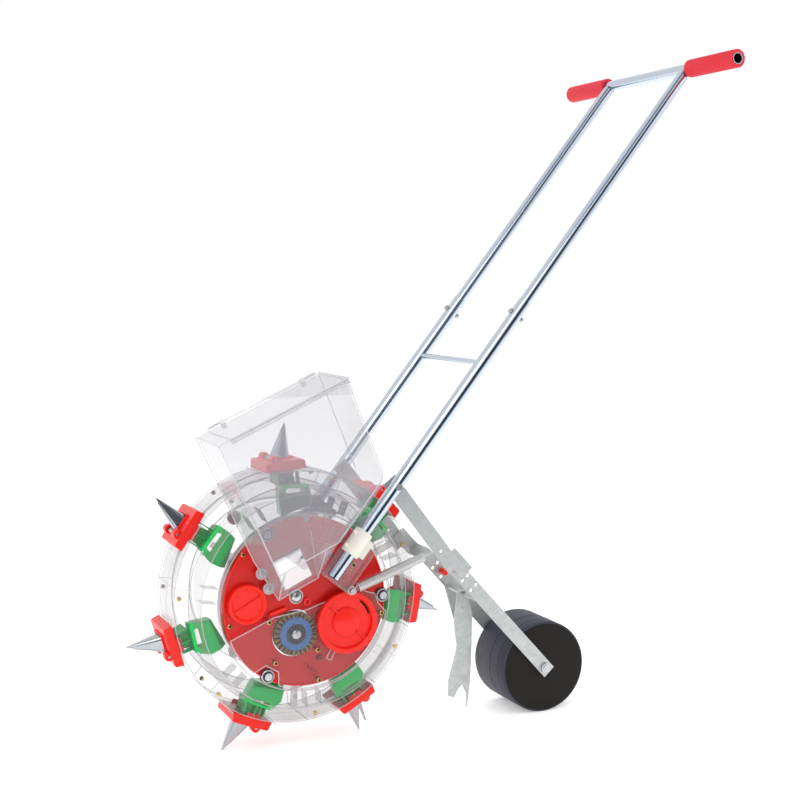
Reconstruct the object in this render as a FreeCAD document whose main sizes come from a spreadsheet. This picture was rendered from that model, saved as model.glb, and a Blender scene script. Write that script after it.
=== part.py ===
"""Push seeder: a drum of seven opening beaks, a hopper, a press roller on a sprung arm and a handle.

Lengths are millimetres. The machine rolls towards -X, its axles lie along Y and +Z is up.
Shapes are laid out about the drum's axle, and every finished piece is then moved so that the
origin lies on the ground under the middle of the machine. Angles grow from +X towards +Z.
"""
import FreeCAD, Part
import math
import os

import Sketcher

Vector = FreeCAD.Vector
document = FreeCAD.newDocument("PushSeeder")

DRIVING_SIZES = {
    # drum
    "tread_radius": 210, "tread_half": 50, "step_radius": 186, "cheek_radius": 176,
    "cheek_half": 89, "lip_radius": 144.8, "lip_depth": 10, "shell_wall": 2.5,
    "beak_count": 7, "tip_radius": 284, "first_tip_angle": 90, "holder_lead": 3.5,
    "holder_height": 15, "holder_length": 70, "holder_margin": 8,
    "beak_base": 35, "beak_half": 16, "sheet_gauge": 1.5, "slot_length": 24,
    "rim_screw_radius": 201, "rim_screw_lag": 18.1,
    # drive
    "gear_module": 2, "ring_teeth": 133, "roller_teeth": 57, "brush_teeth": 29,
    "roller_angle": -30.2, "brush_angle": 188, "gear_width": 8, "gear_inset": 22,
    "bearing_radius": 11, "bearing_bore": 4, "bearing_width": 7, "bearing_angle": -1,
    "bearing_gap": 0.3, "run_fit": 0.05,
    # housing
    "disc_clear": 5.4, "disc_inset": 5, "disc_wall": 3, "rim_depth": 16, "cover_gap": 11,
    "big_cap_radius": 51.5, "big_cap_height": 10, "small_cap_radius": 32, "small_cap_x": -101.4,
    "small_cap_z": 7.7, "cap_hub": 20, "bristle_radius": 37, "brush_hub_radius": 27,
    # hopper, along its lid and down from it
    "hopper_x": -179, "hopper_z": 279.2, "hopper_tilt": 23.8, "hopper_lid": 224,
    "hopper_back": 221, "hopper_drop": 299, "hopper_shoulder": 171, "hopper_gap": 11.5,
    "hopper_depth": 124.5, "hopper_wall": 2.5, "mouth_start": 10, "mouth_end": 84,
    "window_width": 52, "lid_ledge": 19, "lid_wall": 2.5,
    # handle
    "tube_radius": 11, "tube_wall": 1.2, "tube_setback": 5.8, "tube_angle": 50.8,
    "tube_foot_x": 33.1, "tube_foot_z": 43.6, "lower_tube": 560, "handle_length": 1073,
    "joint_fit": 0.1, "joint_overlap": 70, "bar_radius": 9.7, "bar_wall": 1.4,
    "bar_half": 264.3, "grip_radius": 15.5, "grip_gap": 0.5, "cross_rod_at": 431,
    "cross_rod_radius": 5,
    # press roller and its arm
    "press_x": 458.3, "press_radius": 81.5, "press_half": 56,
    "axle_radius": 6, "arm_at": 180, "plate_width": 27, "plate_gauge": 2.5,
    "bar_width": 25, "bar_gauge": 3, "fork_plane": 62, "elbow_x": 253, "elbow_z": 40,
    "knee_x": 278.3, "knee_z": 28.1, "hook_x": 232.1, "hook_z": 65, "spring_radius": 8,
    "bracket_gap": 21.5, "tie_inset": 27.4,
    "hinge_height": 2.9, "barrel_radius": 2.6, "hinge_pin_radius": 1.5, "open_beak": 5,
    "open_angle": 14,
}

sheet = document.addObject("Spreadsheet::Sheet", "Sizes")
for row, (alias, number) in enumerate(DRIVING_SIZES.items(), start=1):
    sheet.set("A%d" % row, alias)
    sheet.set("B%d" % row, str(number))
    sheet.setAlias("B%d" % row, alias)
document.recompute()


class Size:
    """A number worked out from the sheet, with the expression that says how."""

    def __init__(self, value, text):
        self.value = float(value)
        self.text = text

    @staticmethod
    def of(item):
        """Take a Size as it is and a plain number as its own expression."""
        return item if isinstance(item, Size) else Size(item, "%.6g" % item)

    def __add__(self, other):
        other = Size.of(other)
        return Size(self.value + other.value, "(%s + %s)" % (self.text, other.text))

    def __sub__(self, other):
        other = Size.of(other)
        return Size(self.value - other.value, "(%s - %s)" % (self.text, other.text))

    def __mul__(self, other):
        other = Size.of(other)
        return Size(self.value * other.value, "(%s * %s)" % (self.text, other.text))

    def __truediv__(self, other):
        other = Size.of(other)
        return Size(self.value / other.value, "(%s / %s)" % (self.text, other.text))

    def __neg__(self):
        return Size(-self.value, "(0 - %s)" % self.text)

    def __rsub__(self, other):
        return Size.of(other) - self

    __radd__ = __add__
    __rmul__ = __mul__


worked_out = {}


def size(alias):
    """The sheet's value under this alias, or a size worked out from such values."""
    if alias in worked_out:
        return worked_out[alias]
    return Size(float(sheet.get(alias)), "Sizes.%s" % alias)


# faces across the machine follow the drum's half width, and radii follow what they fit
worked_out["holder_half"] = size("tread_half") - size("holder_margin")
worked_out["disc_face"] = size("cheek_half") - size("disc_inset")
worked_out["gear_face"] = size("disc_face") - size("gear_inset")
worked_out["cover_face"] = size("disc_face") + size("cover_gap")
worked_out["big_cap_face"] = size("cover_face") + size("big_cap_height")
worked_out["hopper_far"] = size("disc_face") + size("hopper_gap")
worked_out["hopper_near"] = size("hopper_far") + size("hopper_depth")
worked_out["bracket_face"] = size("disc_face") + size("bracket_gap")
worked_out["tube_plane"] = size("bracket_face") + size("tube_setback") + size("tube_radius")
worked_out["disc_radius"] = size("lip_radius") - size("disc_clear")
worked_out["tie_circle"] = size("disc_radius") - size("tie_inset")
worked_out["upper_radius"] = size("tube_radius") - size("tube_wall") - size("joint_fit")
worked_out["grip_start"] = size("tube_plane") + size("upper_radius") + size("grip_gap")


def cosine(angle):
    """Cosine of an angle in degrees."""
    return Size(math.cos(math.radians(angle.value)), "cos(%s)" % angle.text)


def sine(angle):
    """Sine of an angle in degrees."""
    return Size(math.sin(math.radians(angle.value)), "sin(%s)" % angle.text)


pieces = {}


def new_body(label):
    """An empty body that will be written as one sub-part."""
    body = document.addObject("PartDesign::Body", label)
    body.Label = label
    pieces[label] = body
    return body


def new_sketch(body, role, lift):
    """A sketch on one of the body's own origin planes, lifted along the plane's normal."""
    plane = [item for item in body.Origin.OriginFeatures if item.Role == role][0]
    sketch = body.newObject("Sketcher::SketchObject", body.Name + "_sketch")
    sketch.AttachmentSupport = [(plane, "")]
    sketch.MapMode = "FlatFace"
    lift = Size.of(lift)
    sketch.AttachmentOffset = FreeCAD.Placement(Vector(0, 0, lift.value), FreeCAD.Rotation())
    sketch.setExpression(".AttachmentOffset.Base.z", lift.text)
    return sketch


def hold(sketch, kind, where, amount):
    """Constrain a sketch point or circle to a size and bind it to the sheet."""
    amount = Size.of(amount)
    if kind == "Radius":
        index = sketch.addConstraint(Sketcher.Constraint(kind, where, amount.value))
    else:
        index = sketch.addConstraint(
            Sketcher.Constraint(kind, -1, 1, where[0], where[1], amount.value))
    sketch.setExpression("Constraints[%d]" % index, amount.text)


def draw_outline(sketch, points):
    """Close a polygon through the points, each held at its own distances from the origin."""
    points = [(Size.of(across), Size.of(along)) for across, along in points]
    corners = [Vector(across.value, along.value, 0) for across, along in points]
    first = sketch.GeometryCount
    for index, corner in enumerate(corners):
        sketch.addGeometry(Part.LineSegment(corner, corners[(index + 1) % len(corners)]))
    for index, (across, along) in enumerate(points):
        following = first + (index + 1) % len(points)
        sketch.addConstraint(Sketcher.Constraint("Coincident", first + index, 2, following, 1))
        hold(sketch, "DistanceX", (first + index, 1), across)
        hold(sketch, "DistanceY", (first + index, 1), along)


def draw_circle(sketch, across, along, radius):
    """A circle held by its centre and radius."""
    across, along, radius = Size.of(across), Size.of(along), Size.of(radius)
    centre = Vector(across.value, along.value, 0)
    index = sketch.addGeometry(Part.Circle(centre, Vector(0, 0, 1), radius.value))
    hold(sketch, "DistanceX", (index, 3), across)
    hold(sketch, "DistanceY", (index, 3), along)
    hold(sketch, "Radius", index, radius)


def extrude(body, kind, low, high, outline=(), circles=()):
    """Pad or pocket an XZ drawing between two Y planes."""
    low, high = Size.of(low), Size.of(high)
    sketch = new_sketch(body, "XZ_Plane", -low)
    if outline:
        draw_outline(sketch, outline)
    for circle in circles:
        draw_circle(sketch, *circle)
    feature = body.newObject("PartDesign::" + kind, body.Name + "_" + kind.lower())
    feature.Profile = sketch
    feature.Length = high.value - low.value
    feature.setExpression("Length", (high - low).text)
    feature.Reversed = kind == "Pad"
    body.Tip = feature
    return feature


def turn(label, profile, centre=(0, 0), hollow=()):
    """A body turned about an axis along Y, from (radius, y) corners and those of any hollow."""
    body = new_body(label)
    sketch = new_sketch(body, "XY_Plane", 0)
    draw_outline(sketch, profile)
    if hollow:
        draw_outline(sketch, hollow)
    feature = body.newObject("PartDesign::Revolution", label + "_turn")
    feature.Profile = sketch
    feature.ReferenceAxis = (sketch, ["V_Axis"])
    feature.Angle = 360
    body.Tip = feature
    across, up = Size.of(centre[0]), Size.of(centre[1])
    body.setExpression(".Placement.Base.x", (across + shift_x).text)
    body.setExpression(".Placement.Base.z", (up + shift_z).text)
    return body


def plate(label, low, high, outline=(), circles=()):
    """A flat body between two Y planes."""
    body = new_body(label)
    extrude(body, "Pad", low, high, outline, circles)
    body.setExpression(".Placement.Base.x", shift_x.text)
    body.setExpression(".Placement.Base.z", shift_z.text)
    return body


def rod(start, end, radius, bore=0.0):
    """A straight round rod or tube between two points, as a plain shape."""
    along = end.sub(start)
    shape = Part.makeCylinder(radius, along.Length, start, along)
    if bore:
        shape = shape.cut(Part.makeCylinder(bore, along.Length, start, along))
    return shape


def ground_shift():
    """The move from the drum's axle to the origin on the ground."""
    return FreeCAD.Placement(Vector(shift_x.value, 0, shift_z.value), FreeCAD.Rotation())


def feature_of(label, shape):
    """Keep a shape that Part's own functions made as a sub-part."""
    feature = document.addObject("Part::Feature", label)
    feature.Label = label
    feature.Shape = shape
    feature.Placement = ground_shift().multiply(feature.Placement)
    pieces[label] = feature
    return feature


def group(label, solids):
    """Several separate solids kept as one sub-part."""
    return feature_of(label, Part.makeCompound(solids))


def screw(x, z, face, out, head=3.4, shank=1.6, depth=8.0, dome=2.2):
    """A pan-head screw on a face of constant Y; out is the side that its head stands on."""
    stem = Part.makeCylinder(shank, depth, Vector(x, face, z), Vector(0, -out, 0))
    cap = Part.makeCylinder(head, dome, Vector(x, face, z), Vector(0, out, 0))
    return stem.fuse(cap).removeSplitter()


def polar(radius, degrees):
    """The XZ place at a radius and an angle from the drum's axle."""
    return (radius * math.cos(math.radians(degrees)), radius * math.sin(math.radians(degrees)))


# The ground touches the two lowest beak tips, and the origin is under the middle of the machine.
beak_pitch = 360.0 / size("beak_count").value
ground_depth = size("tip_radius") * cosine(Size(180, "180") / size("beak_count"))
handle_x = size("tube_foot_x") + size("handle_length") * cosine(size("tube_angle"))
handle_z = size("tube_foot_z") + size("handle_length") * sine(size("tube_angle"))
front_angle = Size(90, "90") + Size(2 * beak_pitch, "(720 / Sizes.beak_count)")
front_reach = size("tip_radius") * cosine(front_angle)
shift_x = -(handle_x + size("grip_radius") + front_reach) / 2
shift_z = ground_depth

gauge = size("sheet_gauge")
wall = size("shell_wall")

# ---- drum shells ---------------------------------------------------------------------------
tip_angles = [size("first_tip_angle").value + turn_number * beak_pitch
              for turn_number in range(int(size("beak_count").value))]
shell_profile = [
    (size("tread_radius"), 0), (size("tread_radius"), size("tread_half")),
    (size("step_radius"), size("tread_half")), (size("cheek_radius"), size("cheek_half")),
    (size("lip_radius"), size("cheek_half")),
    (size("lip_radius"), size("cheek_half") - size("lip_depth")),
    (size("lip_radius") + wall, size("cheek_half") - size("lip_depth")),
    (size("lip_radius") + wall, size("cheek_half") - wall),
    (size("cheek_radius") - wall, size("cheek_half") - wall),
    (size("step_radius") - wall, size("tread_half") - wall),
    (size("tread_radius") - wall, size("tread_half") - wall),
    (size("tread_radius") - wall, 0),
]


def seed_slots(side):
    """The windows in one half of the tread through which seed reaches the beaks."""
    half_width = size("beak_half").value - 4
    slots = []
    for angle in tip_angles:
        low_y = -half_width if side < 0 else -1.0
        block = Part.makeBox(20, half_width + 1.0, size("slot_length").value)
        block.translate(Vector(size("tread_radius").value - 12, low_y,
                               -size("slot_length").value / 2))
        block.rotate(Vector(), Vector(0, -1, 0), angle + size("holder_lead").value)
        slots.append(block)
        x, z = polar(size("rim_screw_radius").value, angle - size("rim_screw_lag").value)
        slots.append(Part.makeCylinder(1.6, 12, Vector(x, side * (size("tread_half").value - 10), z),
                                       Vector(0, side, 0)))
    return Part.makeCompound(slots)


def cut_shape(body, tool_shape, label):
    """Cut a plain shape from a finished body and keep the result as the sub-part."""
    tool = document.addObject("Part::Feature", label + "_windows")
    tool.Shape = tool_shape
    tool.Placement = ground_shift().multiply(tool.Placement)
    cut = document.addObject("Part::Cut", label + "_cut")
    cut.Base = body
    cut.Tool = tool
    body.Label = label + "_blank"
    cut.Label = label
    pieces[label] = cut


for side, label in ((-1, "drum_shell_near"), (1, "drum_shell_far")):
    blank = turn(label, [(radius, Size.of(y) * side) for radius, y in shell_profile])
    cut_shape(blank, seed_slots(side), label)


# ---- beaks, holders and seed scoops ------------------------------------------------------------
def about_axle(shape, angle):
    """Turn a shape laid out along +X to an angle about the drum's axle."""
    turned_shape = shape.copy()
    turned_shape.rotate(Vector(), Vector(0, -1, 0), angle)
    return turned_shape


def prism(outline, low, high):
    """A solid between two Y planes from (x, z) corners."""
    corners = [Vector(x, low, z) for x, z in outline]
    face = Part.Face(Part.makePolygon(corners + corners[:1]))
    return face.extrude(Vector(0, high - low, 0))


holder_base = size("tread_radius").value
holder_top = holder_base + size("holder_height").value
holder_half_length = size("holder_length").value / 2
beak_half_base = size("beak_base").value / 2
beak_half = size("beak_half").value
sheet_wall = gauge.value
lead = math.radians(size("holder_lead").value)
tip_out = size("tip_radius").value * math.cos(lead)
tip_side = -size("tip_radius").value * math.sin(lead)
GAP = 0.3
barrel = size("barrel_radius").value
hinge_out = holder_top + size("hinge_height").value
hinge_side = beak_half_base - barrel


def holder_block():
    """A beak holder: a block on the tread with a through passage and a recess in each cheek."""
    half = size("holder_half").value
    block = prism([(holder_base, -holder_half_length), (holder_top, -holder_half_length + 4),
                   (holder_top, holder_half_length - 4), (holder_base, holder_half_length)],
                  -half, half)
    bore = prism([(holder_base - 1, -beak_half_base + 4), (holder_top + 1, -beak_half_base + 4),
                  (holder_top + 1, beak_half_base - 4), (holder_base - 1, beak_half_base - 4)],
                 -beak_half + 4, beak_half - 4)
    for side in (-1, 1):
        recess = Part.makeCylinder(3.6, 1.5, Vector((holder_base + holder_top) / 2 + 0.5,
                                                    side * half, 9), Vector(0, -side, 0))
        block = block.cut(recess)
    block = block.cut(bore)
    for low, high in ((-beak_half - 16, -beak_half - 2), (beak_half + 2, beak_half + 16)):
        boss = rod(Vector(hinge_out, low, hinge_side), Vector(hinge_out, high, hinge_side), 7)
        block = block.fuse(boss)
    pin = rod(Vector(hinge_out, -beak_half - 16, hinge_side),
              Vector(hinge_out, beak_half + 16, hinge_side), size("hinge_pin_radius").value)
    return block.fuse(pin).removeSplitter()


def fixed_jaw():
    """The long jaw of a beak: a folded trough whose back edge runs straight out to the tip."""
    cheek = [(holder_top, -beak_half_base), (holder_top, hinge_side - barrel - GAP),
             (hinge_out, hinge_side - barrel - GAP), (tip_out, tip_side)]
    trough = prism(cheek, -beak_half, beak_half)
    hollow = prism([(holder_top - 1, -beak_half_base + sheet_wall), (holder_top - 1, 40),
                    (tip_out + 20, 40), (tip_out - 6, tip_side + sheet_wall)],
                   -beak_half + sheet_wall, beak_half - sheet_wall)
    trough = trough.cut(hollow)
    for side in (-1, 1):
        trough = trough.cut(prism_across(side))
    return trough


def prism_across(side):
    """The wedge that trims a jaw's width to a point at its tip."""
    corners = [(holder_top, side * beak_half), (tip_out + 1, side * 2.0),
               (tip_out + 1, side * 40), (holder_top, side * 40)]
    points = [Vector(x, y, -60) for x, y in corners]
    return Part.Face(Part.makePolygon(points + points[:1])).extrude(Vector(0, 0, 120))


def flap_shape(opened=0.0):
    """The short jaw: a plate on a hinge barrel that closes the trough, opened by an angle."""
    reach = 0.82
    near_side = hinge_side - barrel / 2
    far_x = hinge_out + (tip_out - hinge_out) * reach
    far_z = near_side + (tip_side - near_side) * reach + 2 * GAP
    slab = prism([(hinge_out, hinge_side - barrel), (far_x, far_z),
                  (far_x, far_z + sheet_wall + 0.5), (hinge_out, hinge_side + barrel)],
                 -beak_half, beak_half)
    for side in (-1, 1):
        slab = slab.cut(prism_across(side))
    slab = slab.fuse(rod(Vector(hinge_out, -beak_half + 1, hinge_side),
                         Vector(hinge_out, beak_half - 1, hinge_side), barrel))
    slab = slab.cut(rod(Vector(hinge_out, -beak_half - 1, hinge_side),
                        Vector(hinge_out, beak_half + 1, hinge_side),
                        size("hinge_pin_radius").value + size("run_fit").value))
    slab = slab.removeSplitter()
    slab.rotate(Vector(hinge_out, 0, hinge_side), Vector(0, -1, 0), opened)
    return slab


def scoop_shape():
    """A seed scoop: a cup that lies inside the drum's rim and passes seed on to its beak."""
    outer = prism([(150, -32), (160, -30), (183, -12), (183, 44), (170, 48), (158, 30)],
                  -46, 46)
    inner = prism([(154, -26), (161, -24), (184, -8), (184, 40), (171, 44), (161, 28)],
                  -43.5, 43.5)
    return outer.cut(inner)


holder_angles = [angle + size("holder_lead").value for angle in tip_angles]
group("beak_holders", [about_axle(holder_block(), angle) for angle in holder_angles])
group("fixed_jaws", [about_axle(fixed_jaw(), angle) for angle in holder_angles])
group("seed_scoops", [about_axle(scoop_shape(), angle - 8) for angle in tip_angles])
for number, angle in enumerate(holder_angles, start=1):
    opened = size("open_angle").value if number == int(size("open_beak").value) else 0.0
    feature_of("beak_flap_%d" % number, about_axle(flap_shape(opened), angle))

rim_angles = [angle - size("rim_screw_lag").value for angle in tip_angles]
rim_screws = []
for angle in rim_angles:
    x, z = polar(size("rim_screw_radius").value, angle)
    for side in (-1, 1):
        rim_screws.append(screw(x, z, side * size("tread_half").value, side, head=3.2))
group("rim_screws", rim_screws)


# ---- gears --------------------------------------------------------------------------------------
def gear(teeth, module, low, high, phase, bore, internal=False):
    """A spur gear with flat-sided teeth; phase is the angle of one tooth's middle."""
    pitch_radius = module * teeth / 2.0
    sign = -1 if internal else 1
    root_radius = pitch_radius - sign * 1.25 * module
    crest_radius = pitch_radius + sign * 0.9 * module
    step = 360.0 / teeth
    outline = []
    for tooth in range(teeth):
        middle = phase + tooth * step
        for radius, share in ((root_radius, -0.34), (crest_radius, -0.12),
                              (crest_radius, 0.12), (root_radius, 0.34)):
            outline.append(polar(radius, middle + share * step))
    shape = prism(outline, low, high)
    width = high - low
    if internal:
        ring = Part.makeCylinder(bore, width, Vector(0, low, 0), Vector(0, 1, 0))
        return ring.cut(shape)
    return shape.cut(Part.makeCylinder(bore, width, Vector(0, low, 0), Vector(0, 1, 0)))


module = size("gear_module").value
ring_teeth = int(size("ring_teeth").value)
roller_teeth = int(size("roller_teeth").value)
brush_teeth = int(size("brush_teeth").value)
roller_arm = module * (ring_teeth - roller_teeth) / 2.0
brush_arm = module * (roller_teeth + brush_teeth) / 2.0
roller_angle = size("roller_angle").value
brush_angle = size("brush_angle").value
roller_x, roller_z = polar(roller_arm, roller_angle)
brush_step_x, brush_step_z = polar(brush_arm, brush_angle)
brush_x, brush_z = roller_x + brush_step_x, roller_z + brush_step_z
gear_low = -size("gear_face").value
gear_high = gear_low + size("gear_width").value

ring_step = 360.0 / ring_teeth
ring = gear(ring_teeth, module, gear_low, gear_high, roller_angle + ring_step / 2,
            module * ring_teeth / 2.0 + 6, internal=True)
# three webs tie the ring gear to the sloping cheek of the drum's shell
web_fit = 0.28
cheek_slope = ((size("step_radius") - size("cheek_radius")).value
               / (size("cheek_half") - size("tread_half")).value)
inner_radius = module * ring_teeth / 2.0 + 4.5
outer_radius = ((size("cheek_radius") - size("shell_wall")).value - web_fit + cheek_slope
                * (size("cheek_half") - size("shell_wall") - size("gear_face")).value)
webs = []
for spoke in range(3):
    web = Part.makeBox(outer_radius - inner_radius, 6, 10)
    web.translate(Vector(inner_radius, gear_low, -5))
    web.rotate(Vector(), Vector(0, -1, 0), 25 + 120 * spoke)
    webs.append(web)
feature_of("ring_gear", ring.fuse(webs).removeSplitter())

axle_bore = size("axle_radius").value
roller_gear = gear(roller_teeth, module, gear_low, gear_high, roller_angle, axle_bore)
drum_of_cells = Part.makeCylinder(30, 50, Vector(0, gear_high, 0), Vector(0, 1, 0))
for cell in range(8):
    x, z = polar(30, 45 * cell)
    drum_of_cells = drum_of_cells.cut(Part.makeSphere(7, Vector(x, gear_high + 25, z)))
drum_of_cells = drum_of_cells.cut(
    Part.makeCylinder(axle_bore, 50, Vector(0, gear_high, 0), Vector(0, 1, 0)))
seed_roller = roller_gear.fuse(drum_of_cells).removeSplitter()
seed_roller.translate(Vector(roller_x, 0, roller_z))
feature_of("seed_roller", seed_roller)

mesh_offset = math.fmod((brush_angle - roller_angle) * roller_teeth / 360.0, 1.0)
brush_phase = brush_angle + 180 + (mesh_offset + 0.5) * 360.0 / brush_teeth
brush_gear = gear(brush_teeth, module, gear_low, gear_high, brush_phase, axle_bore)
brush_gear.translate(Vector(brush_x, 0, brush_z))
feature_of("brush_gear", brush_gear)
turn("brush_wheel", [(size("brush_hub_radius"), -(size("cover_face") - 3.5)),
                     (size("bristle_radius"), -(size("cover_face") - 3.5)),
                     (size("bristle_radius"), -(size("cover_face") - 8.5)),
                     (size("brush_hub_radius"), -(size("cover_face") - 8.5))],
     (brush_x, brush_z))
turn("brush_hub", [(Size(axle_bore, "Sizes.axle_radius"), -(size("cover_face") - 3)),
                   (size("brush_hub_radius"), -(size("cover_face") - 3)),
                   (size("brush_hub_radius"), -(size("cover_face") - 9)),
                   (Size(12, "12"), -(size("cover_face") - 9)),
                   (Size(12, "12"), -size("gear_face")),
                   (size("axle_radius"), -size("gear_face"))],
     (brush_x, brush_z))

# ---- housing ------------------------------------------------------------------------------------
# the red disc is one dish: a face with holes for the brush and its cap, and a rim behind it
housing = new_body("housing")
disc_low = -size("disc_face")
disc_high = -(size("disc_face") - size("disc_wall"))
bearing_ring = size("lip_radius") - size("bearing_radius") - size("bearing_gap")
bearing_holes = []
for number in range(3):
    turned_to = size("bearing_angle") + 120 * number
    bearing_holes.append((bearing_ring * cosine(turned_to), bearing_ring * sine(turned_to),
                          size("bearing_bore")))
extrude(housing, "Pad", disc_low, disc_high,
        circles=bearing_holes + [(0, 0, size("disc_radius")), (-16, 10, 4),
                 (brush_x, brush_z, size("bristle_radius") + 1.5),
                 (roller_x, roller_z, size("axle_radius") + 8)])
extrude(housing, "Pad", disc_high, disc_high + size("rim_depth"),
        circles=[(0, 0, size("disc_radius")), (0, 0, size("disc_radius") - 2.5)])
housing.setExpression(".Placement.Base.x", shift_x.text)
housing.setExpression(".Placement.Base.z", shift_z.text)

plate("far_plate", size("disc_face") - size("disc_wall"), size("disc_face"),
      circles=bearing_holes + [(0, 0, size("disc_radius"))])

# shafts run through both plates
drive_shafts = [rod(Vector(x, -size("disc_face").value - 1 + extra, z),
                    Vector(x, size("disc_face").value - 3, z), axle_bore - size("run_fit").value)
                for x, z, extra in ((roller_x, roller_z, 5), (brush_x, brush_z, -6))]
group("drive_shafts", drive_shafts)

# the clear chamber cover lies over the lower part of the disc, open around the brush
cover_y = size("cover_face")
cover_screws = ((-57, -93), (16, -79.5), (17, -130), (129, -31), (-66, -25))
cover_hole = 1.7
cover_radius = size("lip_radius").value - 4
low_bearing = size("bearing_angle").value + 240
notch_radius = bearing_ring.value - size("bearing_radius").value - 4
cover_edge = []
for degrees in range(200, 349, 4):
    beside = abs(degrees - low_bearing) < 8
    cover_edge.append(polar(notch_radius if beside else cover_radius, degrees))
upper_edge = [(124, -14), (118, 4), (88, 14), (18, -4), (0, -10), (-58, -17)]
plate("chamber_cover", -cover_y, -(cover_y - 2), outline=cover_edge + upper_edge,
      circles=[(roller_x, roller_z, size("cap_hub"))]
      + [(x, z, cover_hole) for x, z in cover_screws])
spacers = []
for x, z in cover_screws:
    spacers.append(rod(Vector(x, -size("disc_face").value, z),
                       Vector(x, -(size("cover_face").value - 2), z), 4, cover_hole))
group("cover_spacers", spacers)
group("housing_screws", [screw(x, z, -size("cover_face").value, -1, depth=10.5)
                         for x, z in cover_screws]
      + [screw(-16, 10, -size("disc_face").value, -1, 10, 4, 12, 7)])

turn("big_cap", [(Size(4, "4"), -(size("big_cap_face") - 7)),
                 (size("cap_hub") + 4, -(size("big_cap_face") - 7)),
                 (size("cap_hub") + 4, -(size("big_cap_face") - 4)),
                 (size("big_cap_radius") - 9, -(size("big_cap_face") - 6)),
                 (size("big_cap_radius") - 7, -size("big_cap_face")),
                 (size("big_cap_radius"), -size("big_cap_face")),
                 (size("big_cap_radius"), -(size("cover_face") + GAP)),
                 (size("cap_hub") - GAP, -(size("cover_face") + GAP)),
                 (size("cap_hub") - GAP, -(size("cover_face") - 1.9)),
                 (Size(4, "4"), -(size("cover_face") - 1.9))],
     (roller_x, roller_z))
small_face = size("disc_face") + 12
turn("small_cap", [(Size(3, "3"), -small_face),
                   (size("small_cap_radius") - 8, -small_face + 2),
                   (size("small_cap_radius") - 6, -small_face - 2),
                   (size("small_cap_radius"), -small_face - 1),
                   (size("small_cap_radius"), -(size("disc_face") + GAP)),
                   (Size(3, "3"), -(size("disc_face") + GAP))],
     (size("small_cap_x"), size("small_cap_z")))

# ---- guide bearings: three pairs hold the drum by its lips ------------------------------------------
bearing_in = size("disc_face").value + 0.5
bearing_out = bearing_in + size("bearing_width").value
disc_inner = size("disc_face").value - size("disc_wall").value
bearing_bolts = []
for number in range(3):
    degrees = size("bearing_angle").value + 120 * number
    x, z = polar(bearing_ring.value, degrees)
    races = []
    for side in (-1, 1):
        races.append(rod(Vector(x, side * bearing_in, z), Vector(x, side * bearing_out, z),
                         size("bearing_radius").value, size("bearing_bore").value))
        stud = rod(Vector(x, side * disc_inner, z), Vector(x, side * (bearing_out + 0.4), z),
                   size("bearing_bore").value - size("run_fit").value)
        head = rod(Vector(x, side * (bearing_out + 0.4), z),
                   Vector(x, side * (bearing_out + 3.2), z), 6.2)
        bearing_bolts.append(stud.fuse(head).removeSplitter())
    group("guide_bearing_%d" % (number + 1), races)
group("bearing_bolts", bearing_bolts)

tie_rods = []
for degrees in (70, 150, 235):
    x, z = polar(size("tie_circle").value, degrees)
    reach = size("disc_face").value - size("disc_wall").value
    tie_rods.append(rod(Vector(x, -reach, z), Vector(x, reach, z), 5))
group("tie_rods", tie_rods)


# ---- handle -------------------------------------------------------------------------------------
def tube_piece(label, radius, bore, length, foot, tilt=None):
    """A round tube from its foot: along Y, or at a tilt from +X in the XZ plane."""
    ends = []
    for kind, amount in (("skin", radius), ("bore", bore)):
        if amount is None:
            continue
        cylinder = document.addObject("Part::Cylinder", label + "_" + kind)
        cylinder.setExpression("Radius", Size.of(amount).text)
        cylinder.setExpression("Height", Size.of(length).text)
        if tilt is None:
            cylinder.Placement.Rotation = FreeCAD.Rotation(Vector(1, 0, 0), -90)
        else:
            cylinder.Placement.Rotation = FreeCAD.Rotation(Vector(0, 1, 0), 90 - tilt.value)
            cylinder.setExpression(".Placement.Rotation.Angle", "90 - " + tilt.text)
        for letter, place in zip("xyz", (foot[0] + shift_x, foot[1], foot[2] + shift_z)):
            cylinder.setExpression(".Placement.Base." + letter, Size.of(place).text)
        ends.append(cylinder)
    if len(ends) == 1:
        ends[0].Label = label
        pieces[label] = ends[0]
        return
    tube = document.addObject("Part::Cut", label)
    tube.Base, tube.Tool = ends
    tube.Label = label
    pieces[label] = tube


tilt = size("tube_angle")


def up_tube(distance):
    """The XZ place on the handle tubes' centre line at a distance from their feet."""
    return (size("tube_foot_x") + distance * cosine(tilt), size("tube_foot_z") + distance * sine(tilt))


def beside_tube(shape, side):
    """Move a shape laid out along +X from the tube's foot to its place beside the drum."""
    moved = shape.copy()
    moved.rotate(Vector(), Vector(0, -1, 0), tilt.value)
    moved.translate(Vector(size("tube_foot_x").value, side * size("tube_plane").value,
                           size("tube_foot_z").value))
    return moved


bolt_along = size("lower_tube").value - 28
bolt_holes = [beside_tube(Part.makeCylinder(2.4, 40, Vector(bolt_along, 0, -20)), side)
              for side in (-1, 1)]
arm_x, arm_z = up_tube(size("arm_at"))
pivot = Vector(arm_x.value, 0, arm_z.value)
pivot_radius = 3.2
pivot_hole = Part.makeCylinder(pivot_radius - size("run_fit").value, 400,
                               Vector(pivot.x, -200, pivot.z), Vector(0, 1, 0))
upper_start = size("lower_tube") - size("joint_overlap")
for side, place in ((-1, "near"), (1, "far")):
    plane = size("tube_plane") * side
    tube_piece("lower_tube_" + place, size("tube_radius"),
               size("tube_radius") - size("tube_wall"), size("lower_tube"),
               (size("tube_foot_x"), plane, size("tube_foot_z")), tilt)
    start_x, start_z = up_tube(upper_start)
    tube_piece("upper_tube_" + place, size("upper_radius"),
               size("upper_radius") - size("tube_wall"),
               size("handle_length") - size("bar_radius") - upper_start,
               (start_x, plane, start_z), tilt)
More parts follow.
